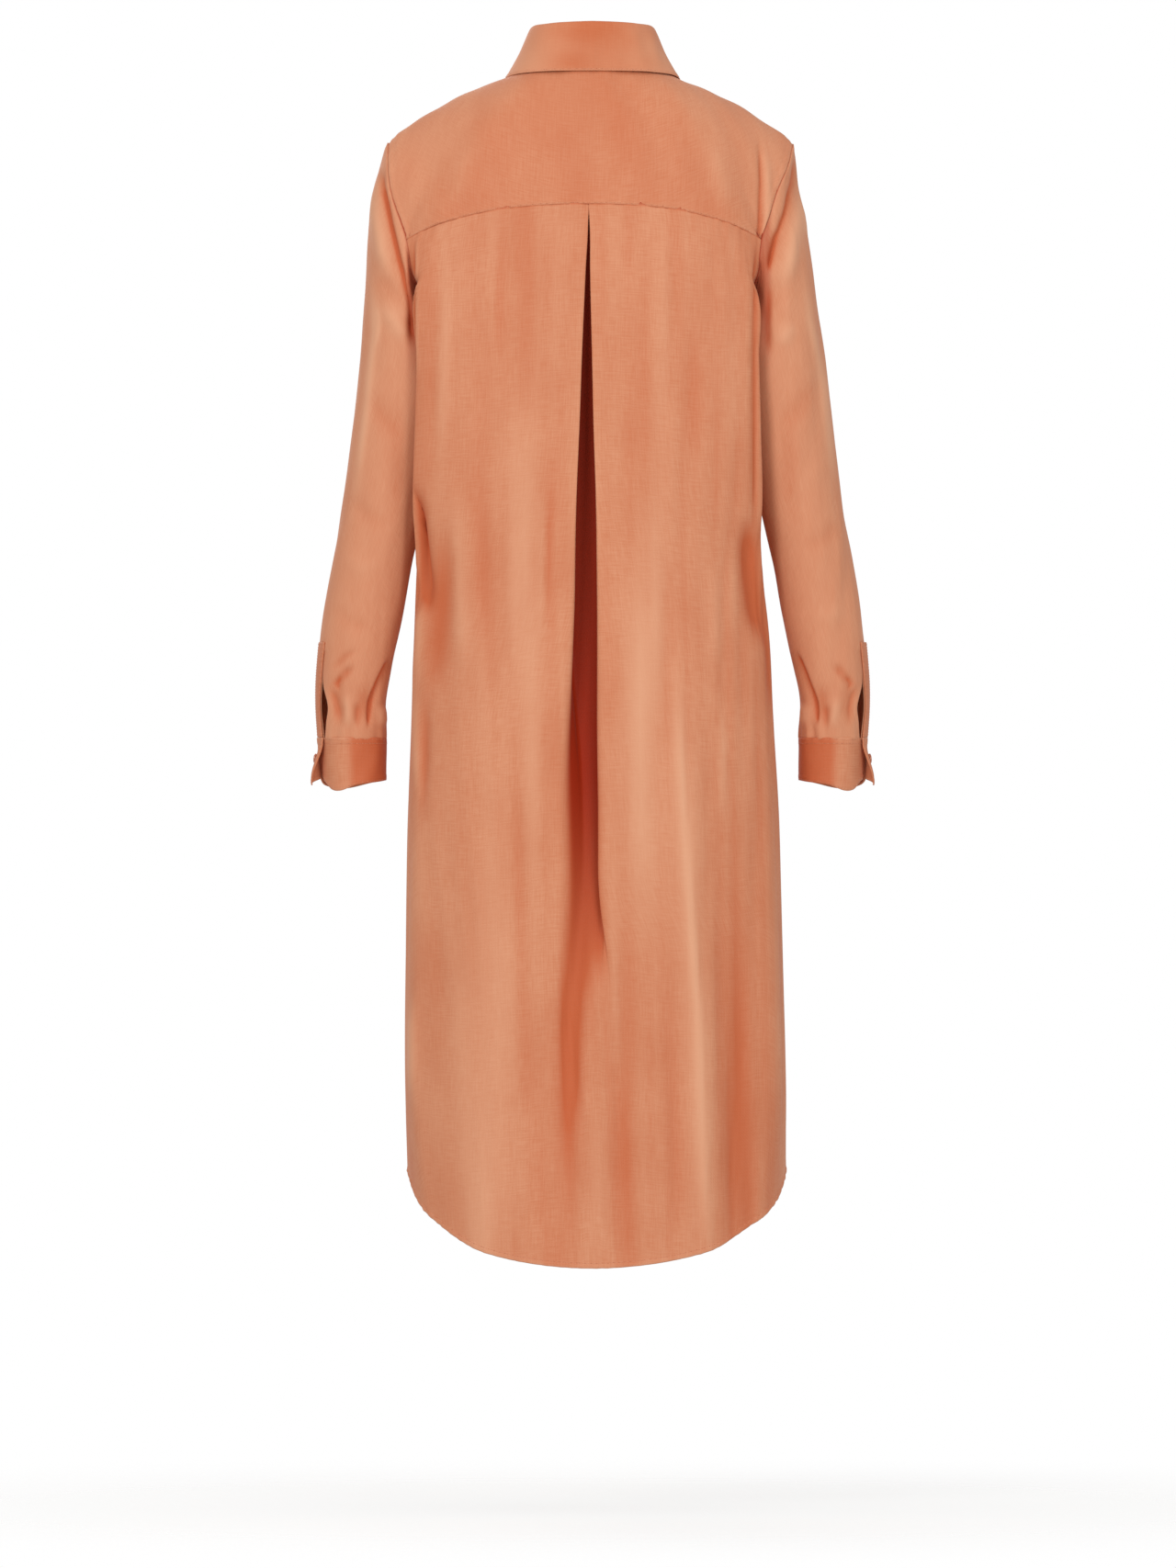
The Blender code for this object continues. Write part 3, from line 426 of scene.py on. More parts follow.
def side_seam(heights: Any, side: int) -> Points:
    """Points of a side seam below the underarm."""
    x, y, hem_z = BACK_HEM_ROW[-1]
    xy = curve_through([(hem_z, (x, y)), *((row.level, row.side) for row in BACK_SECTIONS)], heights)
    return np.column_stack((xy[:, 0] * side, xy[:, 1], heights))


def full_net(first_rows: Sequence, sections: Sequence[Section], hem_row: Sequence, opposite: Sequence) -> Points:
    """A panel's net of points over the whole width.

    Args:
        first_rows: the rows of its left half above the sections.
        sections: its level sections.
        hem_row: its row at the hem.
        opposite: the other panel's sections, whose tucks lie beyond the side seams.

    Returns:
        Points with the shape (rows, columns, 3).
    """
    rows = []
    for row in first_rows:
        tuck, side = np.array(row[-2], float), np.array(row[-1], float)
        rows.append(tuple(row) + (tuple(2 * side - tuck),))
    for section, other in zip(sections, opposite):
        pairs = ((0, section.centre_y), section.quarter, section.ear, section.tuck, section.side, other.tuck)
        rows.append(tuple((x, y, section.level) for x, y in pairs))
    tuck, side = np.array(hem_row[-2], float), np.array(hem_row[-1], float)
    rows.append(tuple(hem_row) + ((tuck[0], 2 * side[1] - tuck[1], tuck[2]),))
    halves = np.asarray(rows, float)
    return np.concatenate((halves[:, :0:-1] * np.array((-1, 1, 1)), halves), axis=1)


BACK_NET = full_net((BACK_SEAM_ROW, BACK_ARMHOLE_ROW), BACK_SECTIONS, BACK_HEM_ROW, FRONT_SECTIONS)
FRONT_NET = full_net(
    (FRONT_TOP_ROW, FRONT_SHOULDER_ROW, FRONT_CHEST_ROW, FRONT_ARMHOLE_ROW),
    FRONT_SECTIONS,
    FRONT_HEM_ROW,
    BACK_SECTIONS,
)


def net_points(net: Points, row_knots: Sequence[float], across: np.ndarray, levels: np.ndarray) -> Points:
    """Points of the smooth surface through a net.

    Args:
        net: the net's points.
        row_knots: the level of each of its rows.
        across: places from -1 at the right side seam to 1 at the left one, for each level.
        levels: the levels.

    Returns:
        Points with the shape (levels, columns, 3).
    """
    down = spline_weights(row_knots, levels)
    rows = np.einsum("lr,rcx->lcx", down, net)
    points = [spline_weights(FULL_ACROSS, across[index]) @ rows[index] for index in range(len(levels))]
    return np.array(points)


def across_at(x: float, row_knots: Sequence[float], net: Points, levels: np.ndarray) -> np.ndarray:
    """Places across the panel, for each level, of a distance from the centre line."""
    quarter = net[:, CENTRE_COLUMN + 1, 0]
    return curve(row_knots, QUARTER * x / quarter, levels)


def back_seam_edge(across: np.ndarray) -> Points:
    """The back yoke seam, for places across the back panel."""
    return curve(FULL_ACROSS, BACK_NET[0], across)


def fit_edges(points: Points, across: np.ndarray, levels: np.ndarray, turn: Sequence[Spot]) -> None:
    """Brings the outer edges of a panel onto the armhole seams and the side seams.

    Args:
        points: the panel's points, which are moved.
        across: places across, from -1 to 1, for each point.
        levels: the rows' levels.
        turn: pairs of a level and the armhole's angle there, down to the underarm.
    """
    angles = curve_through(turn, levels)
    underarm_level = turn[-1][0]
    inside = levels <= underarm_level
    for side in (1, -1):
        column = -1 if side > 0 else 0
        if np.sign(across[0, column]) != side:
            continue
        edge = armhole(angles, side)
        seam = side_seam(points[:, column, 2], side)
        edge = np.where(inside[:, None], edge, seam)
        edge[:, 0] -= side * armhole_clearance(angles) * fade(levels, underarm_level, UNDERARM_FADE)
        miss = edge - points[:, column]
        weight = np.clip((np.abs(across) - FITTED_FROM) / (1 - FITTED_FROM), 0, 1) ** 2 * (np.sign(across) == side)
        points += miss[:, None] * weight[..., None]


def yoke_lines(share: Any, down: Any) -> Points:
    """Points on the lines that run over the yoke from the neck to its outer edge.

    Args:
        share: places round the yoke, 0 at the centre back and 1 at the left front seam;
            negative on the right.
        down: shares of the way from the neck seam, 0 to 1.

    Returns:
        Points with the shape (down, share, 3).
    """
    side = np.where(np.asarray(share) < 0, -1.0, 1.0)
    share = np.abs(share)
    knots = [line.share for line in YOKE_LINES]
    start = neck_seam(curve(knots, [line.neck_angle for line in YOKE_LINES], share))
    on_seam = back_seam_edge(np.clip(share / YOKE_CORNER_SHARE, 0, 1))
    rest = (share - YOKE_CORNER_SHARE) / (1 - YOKE_CORNER_SHARE)
    turn = YOKE_CORNER_ANGLE + (FRONT_CORNER_ANGLE - YOKE_CORNER_ANGLE) * np.clip(rest, 0, 1)
    on_armhole = armhole(turn, 1)
    on_armhole[:, 0] -= armhole_clearance(turn)
    outer = np.where((rest <= 0)[:, None], on_seam, on_armhole)
    length = np.linalg.norm(outer - start, axis=1)[:, None]
    leave = curve(knots, [line.leave for line in YOKE_LINES], share) * length
    arrive = curve(knots, [line.arrive for line in YOKE_LINES], share) * length
    down = np.asarray(down, float)[:, None, None]
    points = hermite(start[None], leave[None], outer[None], arrive[None], down)
    points[..., 0] *= side
    return points


def front_top_edge(across: np.ndarray) -> Points:
    """The top edge of the fronts: the neckline, then the front yoke seam."""
    share = np.abs(across)
    angles = 180 - (180 - FRONT_YOKE_ANGLE) * np.clip(share / QUARTER, 0, 1)
    seam = yoke_lines(np.ones(1), np.clip((share - QUARTER) / (1 - QUARTER), 0, 1))[:, 0]
    edge = np.where((share > QUARTER)[:, None], seam, neck_seam(angles))
    edge[:, 0] *= np.where(across < 0, -1.0, 1.0)
    return edge


def sleeve_ring(z: np.ndarray, angles: np.ndarray, side: int, outward: Any = 0.0) -> Points:
    """Points of the sleeve.

    Args:
        z: heights.
        angles: angles round it, 0 on its outer side and 90 behind.
        side: 1 for the left sleeve, -1 for the right one.
        outward: how far the points stand out from its surface.

    Returns:
        The points, in the shape of the angles.
    """
    sizes = curve_through([(ring.z, ring[1:]) for ring in SLEEVE_RINGS], z)
    outer, inner, centre_y, half_depth = np.moveaxis(sizes, -1, 0)
    half_width = (outer - inner) / 2
    turn = np.radians(angles)
    normal = np.stack((np.cos(turn) * half_depth, np.sin(turn) * half_width, np.zeros_like(turn)), -1)
    normal /= np.linalg.norm(normal, axis=-1, keepdims=True)
    x = (outer + inner) / 2 + half_width * np.cos(turn)
    y = centre_y + half_depth * np.sin(turn)
    points = np.stack((x, y, np.broadcast_to(z, x.shape)), axis=-1)
    points += normal * np.asarray(outward)[..., None]
    points[..., 0] *= side
    return points


# --------------------------------------------------------------------------- folds


class Facing(Enum):
    """Which way the cloth faces where a crease is placed."""

    BACK = 1
    FRONT = -1
    EITHER = 0


@dataclass(frozen=True)
class Crease:
    """A soft ridge or trough, placed by its line as seen straight from the back or front."""

    line: tuple[Spot, ...]
    half_width: float
    height: float
    # The share of its length over which each end fades
    taper: float = 0.4
    skew: float = 0.0
    facing: Facing = Facing.BACK
    # How strongly it is painted as highlight or shade, for its height
    tone: float = 1.0

    def heights(self, points: Points, normals: Points) -> np.ndarray:
        """How far the crease moves each point outwards.

        Args:
            points: the cloth's points.
            normals: its outward directions there.

        Returns:
            A height for each point.
        """
        place = points[..., (0, 2)]
        knots = np.asarray(self.line, float)
        lengths = np.linalg.norm(np.diff(knots, axis=0), axis=1)
        total = lengths.sum()
        nearest = np.full(place.shape[:-1], np.inf)
        along = np.zeros_like(nearest)
        across = np.zeros_like(nearest)
        done = 0.0
        for start, end, length in zip(knots[:-1], knots[1:], lengths):
            way = (end - start) / length
            from_start = place - start
            t = np.clip(from_start @ way, 0, length)
            apart = from_start - t[..., None] * way
            distance = np.linalg.norm(apart, axis=-1)
            sign = np.sign(apart[..., 0] * way[1] - apart[..., 1] * way[0])
            closer = distance < nearest
            nearest = np.where(closer, distance, nearest)
            along = np.where(closer, (done + t) / total, along)
            across = np.where(closer, sign * distance, across)
            done += length
        width = self.half_width * (1 + self.skew * np.sign(across))
        shape = np.exp(-((across / width) ** 2))
        ends = smooth_step(along / self.taper) * smooth_step((1 - along) / self.taper)
        # Past its ends the line's distance grows both ways, so the ends fade by themselves
        beyond = np.exp(-np.maximum(nearest**2 - across**2, 0) / self.half_width**2)
        shown = np.ones_like(nearest)
        if self.facing is not Facing.EITHER:
            shown = smooth_step((normals[..., 1] * self.facing.value + 0.05) / 0.35)
        return self.height * shape * ends * beyond * shown


def front_crease(
    line: tuple[Spot, ...], half_width: float, height: float, taper: float = 0.4, tone: float = 0.4
) -> Crease:
    """A crease on the front, with less painted highlight or shade."""
    return Crease(line, half_width, height, taper, facing=Facing.FRONT, tone=tone)


@dataclass(frozen=True)
class Ripple:
    """Uneven, mostly upright waves that woven cloth keeps where it hangs."""

    seed: int
    height: float
    width: float
    length: float
    waves: int = 9
    # How far the waves shift over the depth, so that they run on round the sides
    shear: float = 0.7

    def heights(self, points: Points) -> np.ndarray:
        """The waves' heights at the points."""
        random = np.random.RandomState(self.seed)
        total = np.zeros(points.shape[:-1])
        reach = points[..., 0] + points[..., 1] * self.shear
        for _ in range(self.waves):
            across = 2 * np.pi / (self.width * random.uniform(0.55, 1.9))
            down = 2 * np.pi / (self.length * random.uniform(0.6, 2.2)) * random.choice((-1, 1))
            phase = random.uniform(0, 2 * np.pi)
            total += np.sin(across * reach + down * points[..., 2] + phase)
        return total * self.height / math.sqrt(self.waves)


def uneven(places: np.ndarray, seed: int, length: float) -> np.ndarray:
    """A smooth wave along a line whose crests are unevenly spaced and high.

    Args:
        places: distances along the line.
        seed: which of such waves.
        length: the usual length from crest to crest.

    Returns:
        Values mostly between -1 and 1.
    """
    waves, usual_height = 6, 2.4
    random = np.random.RandomState(seed)
    total = np.zeros_like(places)
    for _ in range(waves):
        rate = 2 * np.pi / (length * random.uniform(0.6, 1.8))
        total += np.sin(rate * places + random.uniform(0, 2 * np.pi))
    return total / usual_height


def smooth_mesh(name: str, points: Points, faces: Sequence, material: bpy.types.Material) -> bpy.types.Mesh:
    """Makes a smooth-shaded mesh.

    Args:
        name: its name.
        points: its points in millimetres.
        faces: the points' numbers round each face.
        material: its finish.

    Returns:
        The mesh.
    """
    mesh = bpy.data.meshes.new(name)
    mesh.from_pydata((points.reshape(-1, 3) * METRES_PER_MM).tolist(), [], faces)
    mesh.polygons.foreach_set("use_smooth", np.ones(len(faces), bool))
    mesh.materials.append(material)
    return mesh


def show(name: str, data: bpy.types.ID) -> bpy.types.Object:
    """Puts a mesh, a light or a camera into the scene."""
    thing = bpy.data.objects.new(name, data)
    bpy.context.scene.collection.objects.link(thing)
    return thing


class Edge(Enum):
    """An edge of a sheet's grid of points."""

    TOP = "top"
    BOTTOM = "bottom"
    START = "start"
    END = "end"


@dataclass
class ClothSheet:
    """A sheet of cloth as rows and columns of points in millimetres, rows running down.

    `outward` is 1 or -1, whichever turns the grid's own direction away from the wearer. For each
    point, `pressed` says how much its edge is worn, `relief` how far a fold stands out (1) or
    lies in (-1), which the material paints as highlight or shade, and the third value how much
    painted deep shade it gets.
    """

    points: Points
    outward: int
    closed: bool = False
    pressed: np.ndarray = field(init=False)
    relief: np.ndarray = field(init=False)
    painted_deep_shade: np.ndarray = field(init=False)

    def __post_init__(self) -> None:
        """Starts with no pressed edges and no folds."""
        for name in (PRESSED, RELIEF, PAINTED_DEEP_SHADE):
            setattr(self, name, np.zeros(self.points.shape[:2]))

    def add_row(self, row: Points, below: bool = False) -> None:
        """Adds a row of points above the first one, or below the last one."""
        at = len(self.points) if below else 0
        self.points = np.insert(self.points, at, row, axis=0)
        for name in (PRESSED, RELIEF, PAINTED_DEEP_SHADE):
            values = getattr(self, name)
            setattr(self, name, np.insert(values, at, values[-1 if below else 0], axis=0))

    def normals(self) -> Points:
        """Outward directions at the points."""
        down = np.gradient(self.points, axis=0)
        over = np.gradient(self.points, axis=1)
        if self.closed:
            over[:, (0, -1)] = (self.points[:, 1:2] - self.points[:, -2:-1]) / 2
        normal = np.cross(down, over) * self.outward
        size = np.linalg.norm(normal, axis=-1, keepdims=True)
        return normal / np.maximum(size, 1e-9)

    def raise_by(self, heights: np.ndarray) -> None:
        """Moves the cloth outwards by the heights."""
        self.points += self.normals() * heights[..., None]

    def waves(self, *ripples: Ripple) -> np.ndarray:
        """The heights of ripples at its points."""
        return sum(ripple.heights(self.points) for ripple in ripples)

    def crease(self, creases: Sequence[Crease], keep: Any = 1.0) -> None:
        """Adds creases.

        Args:
            creases: the creases.
            keep: how much of them each point takes.
        """
        normals = self.normals()
        total = np.zeros(self.points.shape[:2])
        for crease in creases:
            heights = crease.heights(self.points, normals)
            total += heights
            # Each crease is also painted, a highlight on a ridge and shade in a trough, by its tone
            self.relief += heights * crease.tone * keep / RELIEF_HEIGHT
        self.points += normals * (total * keep)[..., None]

    def distance_from(self, edge: Edge) -> np.ndarray:
        """Each point's distance along the cloth from an edge."""
        axis = 0 if edge in (Edge.TOP, Edge.BOTTOM) else 1
        steps = np.linalg.norm(np.diff(self.points, axis=axis), axis=-1)
        zero = np.zeros_like(np.take(steps, [0], axis=axis))
        if edge in (Edge.TOP, Edge.START):
            return np.concatenate((zero, np.cumsum(steps, axis=axis)), axis=axis)
        back = np.flip(np.cumsum(np.flip(steps, axis=axis), axis=axis), axis=axis)
        return np.concatenate((back, zero), axis=axis)

    def turned_edge(self, edge: Edge, width: float, lift: float, dip: float, stitch: float) -> None:
        """Presses an edge of doubled cloth, raised by its inner layers and dipped at its stitches.

        Args:
            edge: which edge.
            width: how wide the doubled cloth is.
            lift: how far its layers raise it.
            dip: how deep the stitches pull it.
            stitch: how far the stitches lie from the edge.
        """
        apart = self.distance_from(edge)
        raised = lift * (1 - smooth_step((apart - width * 0.75) / (width * 0.35)))
        raised -= dip * np.exp(-(((apart - stitch) / 1.1) ** 2))
        raised -= lift * 0.8 * np.exp(-((apart / 0.9) ** 2))
        self.raise_by(raised)
        self.pressed = np.maximum(self.pressed, np.exp(-((apart / 2.2) ** 2)))

    def pucker(self, edge: Edge, height: float, reach: float, length: float, seed: int) -> None:
        """Gathers small wrinkles across a sewn edge.

        Args:
            edge: which edge.
            height: how high the wrinkles stand.
            reach: how far they run into the cloth.
            length: their usual spacing.
            seed: which set of wrinkles.
        """
        along = self.distance_from(Edge.START if edge in (Edge.TOP, Edge.BOTTOM) else Edge.TOP)
        strength = np.exp(-((self.distance_from(edge) / reach) ** 2))
        self.raise_by(height * strength * uneven(along, seed, length))

    def line(self, edge: Edge, inset: float, lift: float, start: float = 0.0, end: float = 1.0) -> Run:
        """A line on the cloth beside an edge.

        Args:
            edge: the edge that it follows.
            inset: its distance from the edge.
            lift: how far above the cloth's middle it lies.
            start: where it starts, as a share of the edge.
            end: where it ends.

        Returns:
            Its points and the outward directions there.
        """
        apart, points, normals = self.distance_from(edge), self.points, self.normals()
        if edge in (Edge.START, Edge.END):
            apart, points, normals = apart.T, points.swapaxes(0, 1), normals.swapaxes(0, 1)
        if edge in (Edge.BOTTOM, Edge.END):
            apart, points, normals = apart[::-1], points[::-1], normals[::-1]
        first, last = int(start * (points.shape[1] - 1)), int(math.ceil(end * (points.shape[1] - 1)))
        places, ways = [], []
        for column in range(first, last + 1):
            row = max(min(int(np.searchsorted(apart[:, column], inset)), len(apart) - 1), 1)
            low, high = apart[row - 1, column], apart[row, column]
            share = (inset - low) / max(high - low, 1e-6)
            place, way = (
                grid[row - 1, column] * (1 - share) + grid[row, column] * share for grid in (points, normals)
            )
            places.append(place + way * lift)
            ways.append(way)
        return np.array(places), np.array(ways)

    def cloth_map(self) -> np.ndarray:
        """Each point's place on the flat cloth, in metres: along its rows, then down them."""
        along = self.distance_from(Edge.START)
        down = self.distance_from(Edge.TOP)
        middle = along[:, along.shape[1] // 2][:, None]
        return np.stack((along - middle, -down), axis=-1) * METRES_PER_MM

    def build(self, name: str, wall: float, material: bpy.types.Material) -> bpy.types.Object:
        """Makes the sheet's mesh with its wall.

        Args:
            name: the piece's name.
            wall: the cloth's thickness.
            material: its finish.

        Returns:
            The object.
        """
        rows, columns = self.points.shape[:2]
        index = np.arange(rows * columns).reshape(rows, columns)
        corners = (index[:-1, :-1], index[:-1, 1:], index[1:, 1:], index[1:, :-1])
        faces = np.stack(corners, axis=-1).reshape(-1, 4)
        if self.outward > 0:
            faces = faces[:, ::-1]
        mesh = smooth_mesh(name, self.points, faces.tolist(), material)
        layer = mesh.uv_layers.new(name=CLOTH_MAP)
        flat = self.cloth_map().reshape(-1, 2)
        layer.uv.foreach_set("vector", flat[faces.ravel()].astype(np.float32).ravel())
        for kind in (PRESSED, RELIEF, PAINTED_DEEP_SHADE):
            worn = mesh.attributes.new(kind, "FLOAT", "POINT")
            worn.data.foreach_set("value", getattr(self, kind).ravel().astype(np.float32))
        welded = bmesh.new()
        welded.from_mesh(mesh)
        bmesh.ops.remove_doubles(welded, verts=welded.verts, dist=WELD_DISTANCE)
        welded.to_mesh(mesh)
        welded.free()
        piece = show(name, mesh)
        shell = piece.modifiers.new("wall", "SOLIDIFY")
        shell.thickness = wall * METRES_PER_MM
        shell.offset = 0
        shell.use_even_offset = False
        shell.use_quality_normals = True
        return piece


# --------------------------------------------------------------------------- finishes


def linear(hex_colour: str) -> tuple[float, float, float, float]:
    """Turns an sRGB hex colour to linear red, green, blue and a full alpha."""
    parts = [int(hex_colour[place : place + 2], 16) / 255 for place in (1, 3, 5)]
    curved = [part / 12.92 if part <= 0.04045 else ((part + 0.055) / 1.055) ** 2.4 for part in parts]
    return (*curved, 1.0)


def add_node(
    tree: bpy.types.NodeTree, kind: str, inputs: dict[str | int, Any] | None = None, **settings: Any
) -> bpy.types.Node:
    """Adds a node to a material.

    Args:
        tree: the material's nodes.
        kind: the node's type.
        inputs: a value, or another node's output to link, for each input by name or number.
        settings: the node's own settings.

    Returns:
        The node.
    """
    node = tree.nodes.new(kind)
    for name, value in settings.items():
        setattr(node, name, value)
    for socket, value in (inputs or {}).items():
        if isinstance(value, bpy.types.NodeSocket):
            tree.links.new(value, node.inputs[socket])
        else:
            node.inputs[socket].default_value = value
    return node


# The colour sockets of a Mix node, which share their names with others: two inputs, one output
MIX_A, MIX_B, MIXED = 6, 7, 2


@dataclass(frozen=True)
class Finish:
    """A finish, whose material each kind makes from its own surface."""

    name: str

    def surface(self, tree: bpy.types.NodeTree) -> bpy.types.NodeSocket:
        """The surface's shader."""
        raise NotImplementedError

    def build(self) -> bpy.types.Material:
        """Makes the material."""
        material = bpy.data.materials.new(self.name)
        material.use_nodes = True
        tree = material.node_tree
        tree.nodes.clear()
        add_node(tree, "ShaderNodeOutputMaterial", {"Surface": self.surface(tree)})
        return material


@dataclass(frozen=True)
class WovenCloth(Finish):
    """Viscose and linen cloth, plain woven, piece-dyed terracotta and softened.

    The weave gives a fine cross-hatch, its uneven yarns short streaks both ways, the dye a
    cloudy warmth, and the brushed yarn ends a pale bloom where the cloth turns away. Pressed
    edges are worn paler, folds get a painted highlight on their crests and painted shade in
    their hollows, and the deepest folds a painted deep red shade.
    """

    name: str = "viscose_linen_plain_weave"
    dyed: str = "#CF825D"
    thin_dyed: str = "#DC9874"
    deep_dyed: str = "#C46F4A"
    # Paler for worn pressed edges and painted highlight on fold crests, then painted shade in fold hollows and
    # painted deep red shade in the deepest folds
    wear_and_highlight: str = "#E2A682"
    painted_shade: str = "#C55F35"
    deep_shade_red: str = "#A02600"
    bloom: str = "#F6DCC9"
    # Real threads lie 0.4 mm apart, too fine to show, so they are drawn four times as coarse
    thread_pitch: float = 1.6
    streak_width: float = 1.3
    streak_length: float = 24.0
    # The weft's streaks are this much shorter than the warp's
    weft_share: float = 0.7
    cloud_size: float = 95.0
    cloud_stretch: float = 1.6
    roughness: float = 0.66
    rough_spread: float = 0.07
    relief: float = 0.18
    weave_share: float = 0.35

    def streaks(self, tree: bpy.types.NodeTree, place: bpy.types.NodeSocket, wide: float, high: float) -> Any:
        """Short uneven yarns of a width and length, as a value from 0 to 1."""
        scale = (1 / (wide * METRES_PER_MM), 1 / (high * METRES_PER_MM), 1)
        scaled = add_node(tree, "ShaderNodeVectorMath", {0: place, 1: scale}, operation="MULTIPLY").outputs[0]
        settings = {"Vector": scaled, "Scale": 1.0, "Detail": 2.0, "Roughness": 0.55}
        return add_node(tree, "ShaderNodeTexNoise", settings).outputs["Fac"]

    def surface(self, tree: bpy.types.NodeTree) -> bpy.types.NodeSocket:
        """The weave and its yarns as small bumps, and the dye with worn edges and painted highlight and shade on the
        folds.
        """
        place = add_node(tree, "ShaderNodeUVMap", uv_map=CLOTH_MAP).outputs["UV"]
        warp = self.streaks(tree, place, self.streak_width, self.streak_length)
        weft = self.streaks(tree, place, self.streak_length * self.weft_share, self.streak_width)
        cloud = self.streaks(tree, place, self.cloud_size, self.cloud_size * self.cloud_stretch)
        parts = add_node(tree, "ShaderNodeSeparateXYZ", {0: place})
        waves = []
        for axis in ("X", "Y"):
            rate = math.pi / (self.thread_pitch * METRES_PER_MM)
            turned = add_node(tree, "ShaderNodeMath", {0: parts.outputs[axis], 1: rate}, operation="MULTIPLY")
            waves.append(add_node(tree, "ShaderNodeMath", {0: turned.outputs[0]}, operation="SINE").outputs[0])
        weave = add_node(tree, "ShaderNodeMath", {0: waves[0], 1: waves[1]}, operation="MULTIPLY").outputs[0]
        yarns = add_node(tree, "ShaderNodeMath", {0: warp, 1: weft}, operation="ADD").outputs[0]
        pressed, folds, inside = (
            add_node(tree, "ShaderNodeAttribute", attribute_name=name).outputs["Fac"]
            for name in (PRESSED, RELIEF, PAINTED_DEEP_SHADE)
        )
        colour = linear(self.dyed)
        # Each tint comes in while its value runs from low to high, up to its share
        for value, low, high, share, tint in (
            (yarns, 0.76, 1.24, 0.66, self.thin_dyed),
            (cloud, 0.4, 0.66, 0.4, self.deep_dyed),
            (pressed, 0.0, 1.0, 0.35, self.wear_and_highlight),
            # Painted highlight on the folds' crests and painted shade in their hollows
            (folds, 0.0, 1.0, 0.85, self.wear_and_highlight),
            (folds, 0.0, -1.0, 0.9, self.painted_shade),
            # Painted deep red shade in the deepest folds and recesses
            (inside, 0.0, 1.0, 1.0, self.deep_shade_red),
        ):
            amount = add_node(tree, "ShaderNodeMapRange", {0: value, 1: low, 2: high, 4: share}).outputs[0]
            tints = {0: amount, MIX_A: colour, MIX_B: linear(tint)}
            colour = add_node(tree, "ShaderNodeMix", tints, data_type="RGBA").outputs[MIXED]
        # Where the yarns are thick the cloth is smoother
        rougher, smoother = self.roughness + self.rough_spread, self.roughness - self.rough_spread
        spread = {0: yarns, 1: 0.6, 2: 1.4, 3: rougher, 4: smoother}
        rough = add_node(tree, "ShaderNodeMapRange", spread).outputs[0]
        raised = add_node(tree, "ShaderNodeMath", {0: weave, 1: self.weave_share, 2: yarns}, operation="MULTIPLY_ADD")
        heights = {"Strength": 0.55, "Distance": self.relief * METRES_PER_MM, "Height": raised.outputs[0]}
        cloth = {
            "Base Color": colour,
            "Roughness": rough,
            "IOR": 1.47,
            "Specular IOR Level": 0.25,
            "Sheen Weight": 0.12,
            "Sheen Roughness": 0.4,
            "Sheen Tint": linear(self.bloom),
            "Normal": add_node(tree, "ShaderNodeBump", heights).outputs[0],
        }
        return add_node(tree, "ShaderNodeBsdfPrincipled", cloth).outputs[0]


@dataclass(frozen=True)
class SpunThread(Finish):
    """Core-spun polyester sewing thread, dyed to match.

    Smoother than the cloth, so that each stitch catches a small pale light of its own.
    """

    name: str = "core_spun_polyester_thread"
    dyed: str = "#D88F6A"
    shaded: str = "#B96A45"
    # The plies turn once in 0.8 mm, drawn twice as coarse so that they show
    twist: float = 1.6
    relief: float = 0.1
    roughness: float = 0.42

    def surface(self, tree: bpy.types.NodeTree) -> bpy.types.NodeSocket:
        """The twisted plies, darker between them."""
        place = add_node(tree, "ShaderNodeTexCoord").outputs["Object"]
        # The wave pattern turns once in about 6.28 of its units
        turns = {"Vector": place, "Scale": 1 / (self.twist * METRES_PER_MM) / 6.28, "Distortion": 2.0}
        plies = add_node(tree, "ShaderNodeTexWave", turns, bands_direction="DIAGONAL").outputs["Fac"]
        tints = {0: plies, MIX_A: linear(self.shaded), MIX_B: linear(self.dyed)}
        heights = {"Strength": 0.4, "Distance": self.relief * METRES_PER_MM, "Height": plies}
        thread = {
            "Base Color": add_node(tree, "ShaderNodeMix", tints, data_type="RGBA").outputs[MIXED],
            "Roughness": self.roughness,
            "IOR": 1.52,
            "Sheen Weight": 0.15,
            "Normal": add_node(tree, "ShaderNodeBump", heights).outputs[0],
        }
        return add_node(tree, "ShaderNodeBsdfPrincipled", thread).outputs[0]


@dataclass(frozen=True)
class CastResin(Finish):
    """Polyester resin, cast in sheets, turned and tumbled, dyed to match the cloth.

    The tumbling leaves a soft gloss, and the cast sheet shows as faint pale swirls.
    """

    name: str = "cast_polyester_resin"
    dyed: str = "#B9653F"
    swirl: str = "#D28A63"
    swirl_size: float = 5.0
    swirl_share: float = 0.7
    roughness: float = 0.24

    def surface(self, tree: bpy.types.NodeTree) -> bpy.types.NodeSocket:
        """The swirled resin, a little rougher in its swirls."""
        place = add_node(tree, "ShaderNodeTexCoord").outputs["Object"]
        cast = {"Vector": place, "Scale": 1 / (self.swirl_size * METRES_PER_MM), "Detail": 3.0, "Distortion": 1.8}
        swirls = add_node(tree, "ShaderNodeTexNoise", cast).outputs["Fac"]
        share = add_node(tree, "ShaderNodeMapRange", {0: swirls, 1: 0.42, 2: 0.68, 4: self.swirl_share}).outputs[0]
        tints = {0: share, MIX_A: linear(self.dyed), MIX_B: linear(self.swirl)}
        spread = {0: swirls, 1: 0.3, 2: 0.7, 3: self.roughness - 0.04, 4: self.roughness + 0.06}
        resin = {
            "Base Color": add_node(tree, "ShaderNodeMix", tints, data_type="RGBA").outputs[MIXED],
            "Roughness": add_node(tree, "ShaderNodeMapRange", spread).outputs[0],
            "IOR": 1.55,
            "Coat Weight": 0.2,
        }
        return add_node(tree, "ShaderNodeBsdfPrincipled", resin).outputs[0]


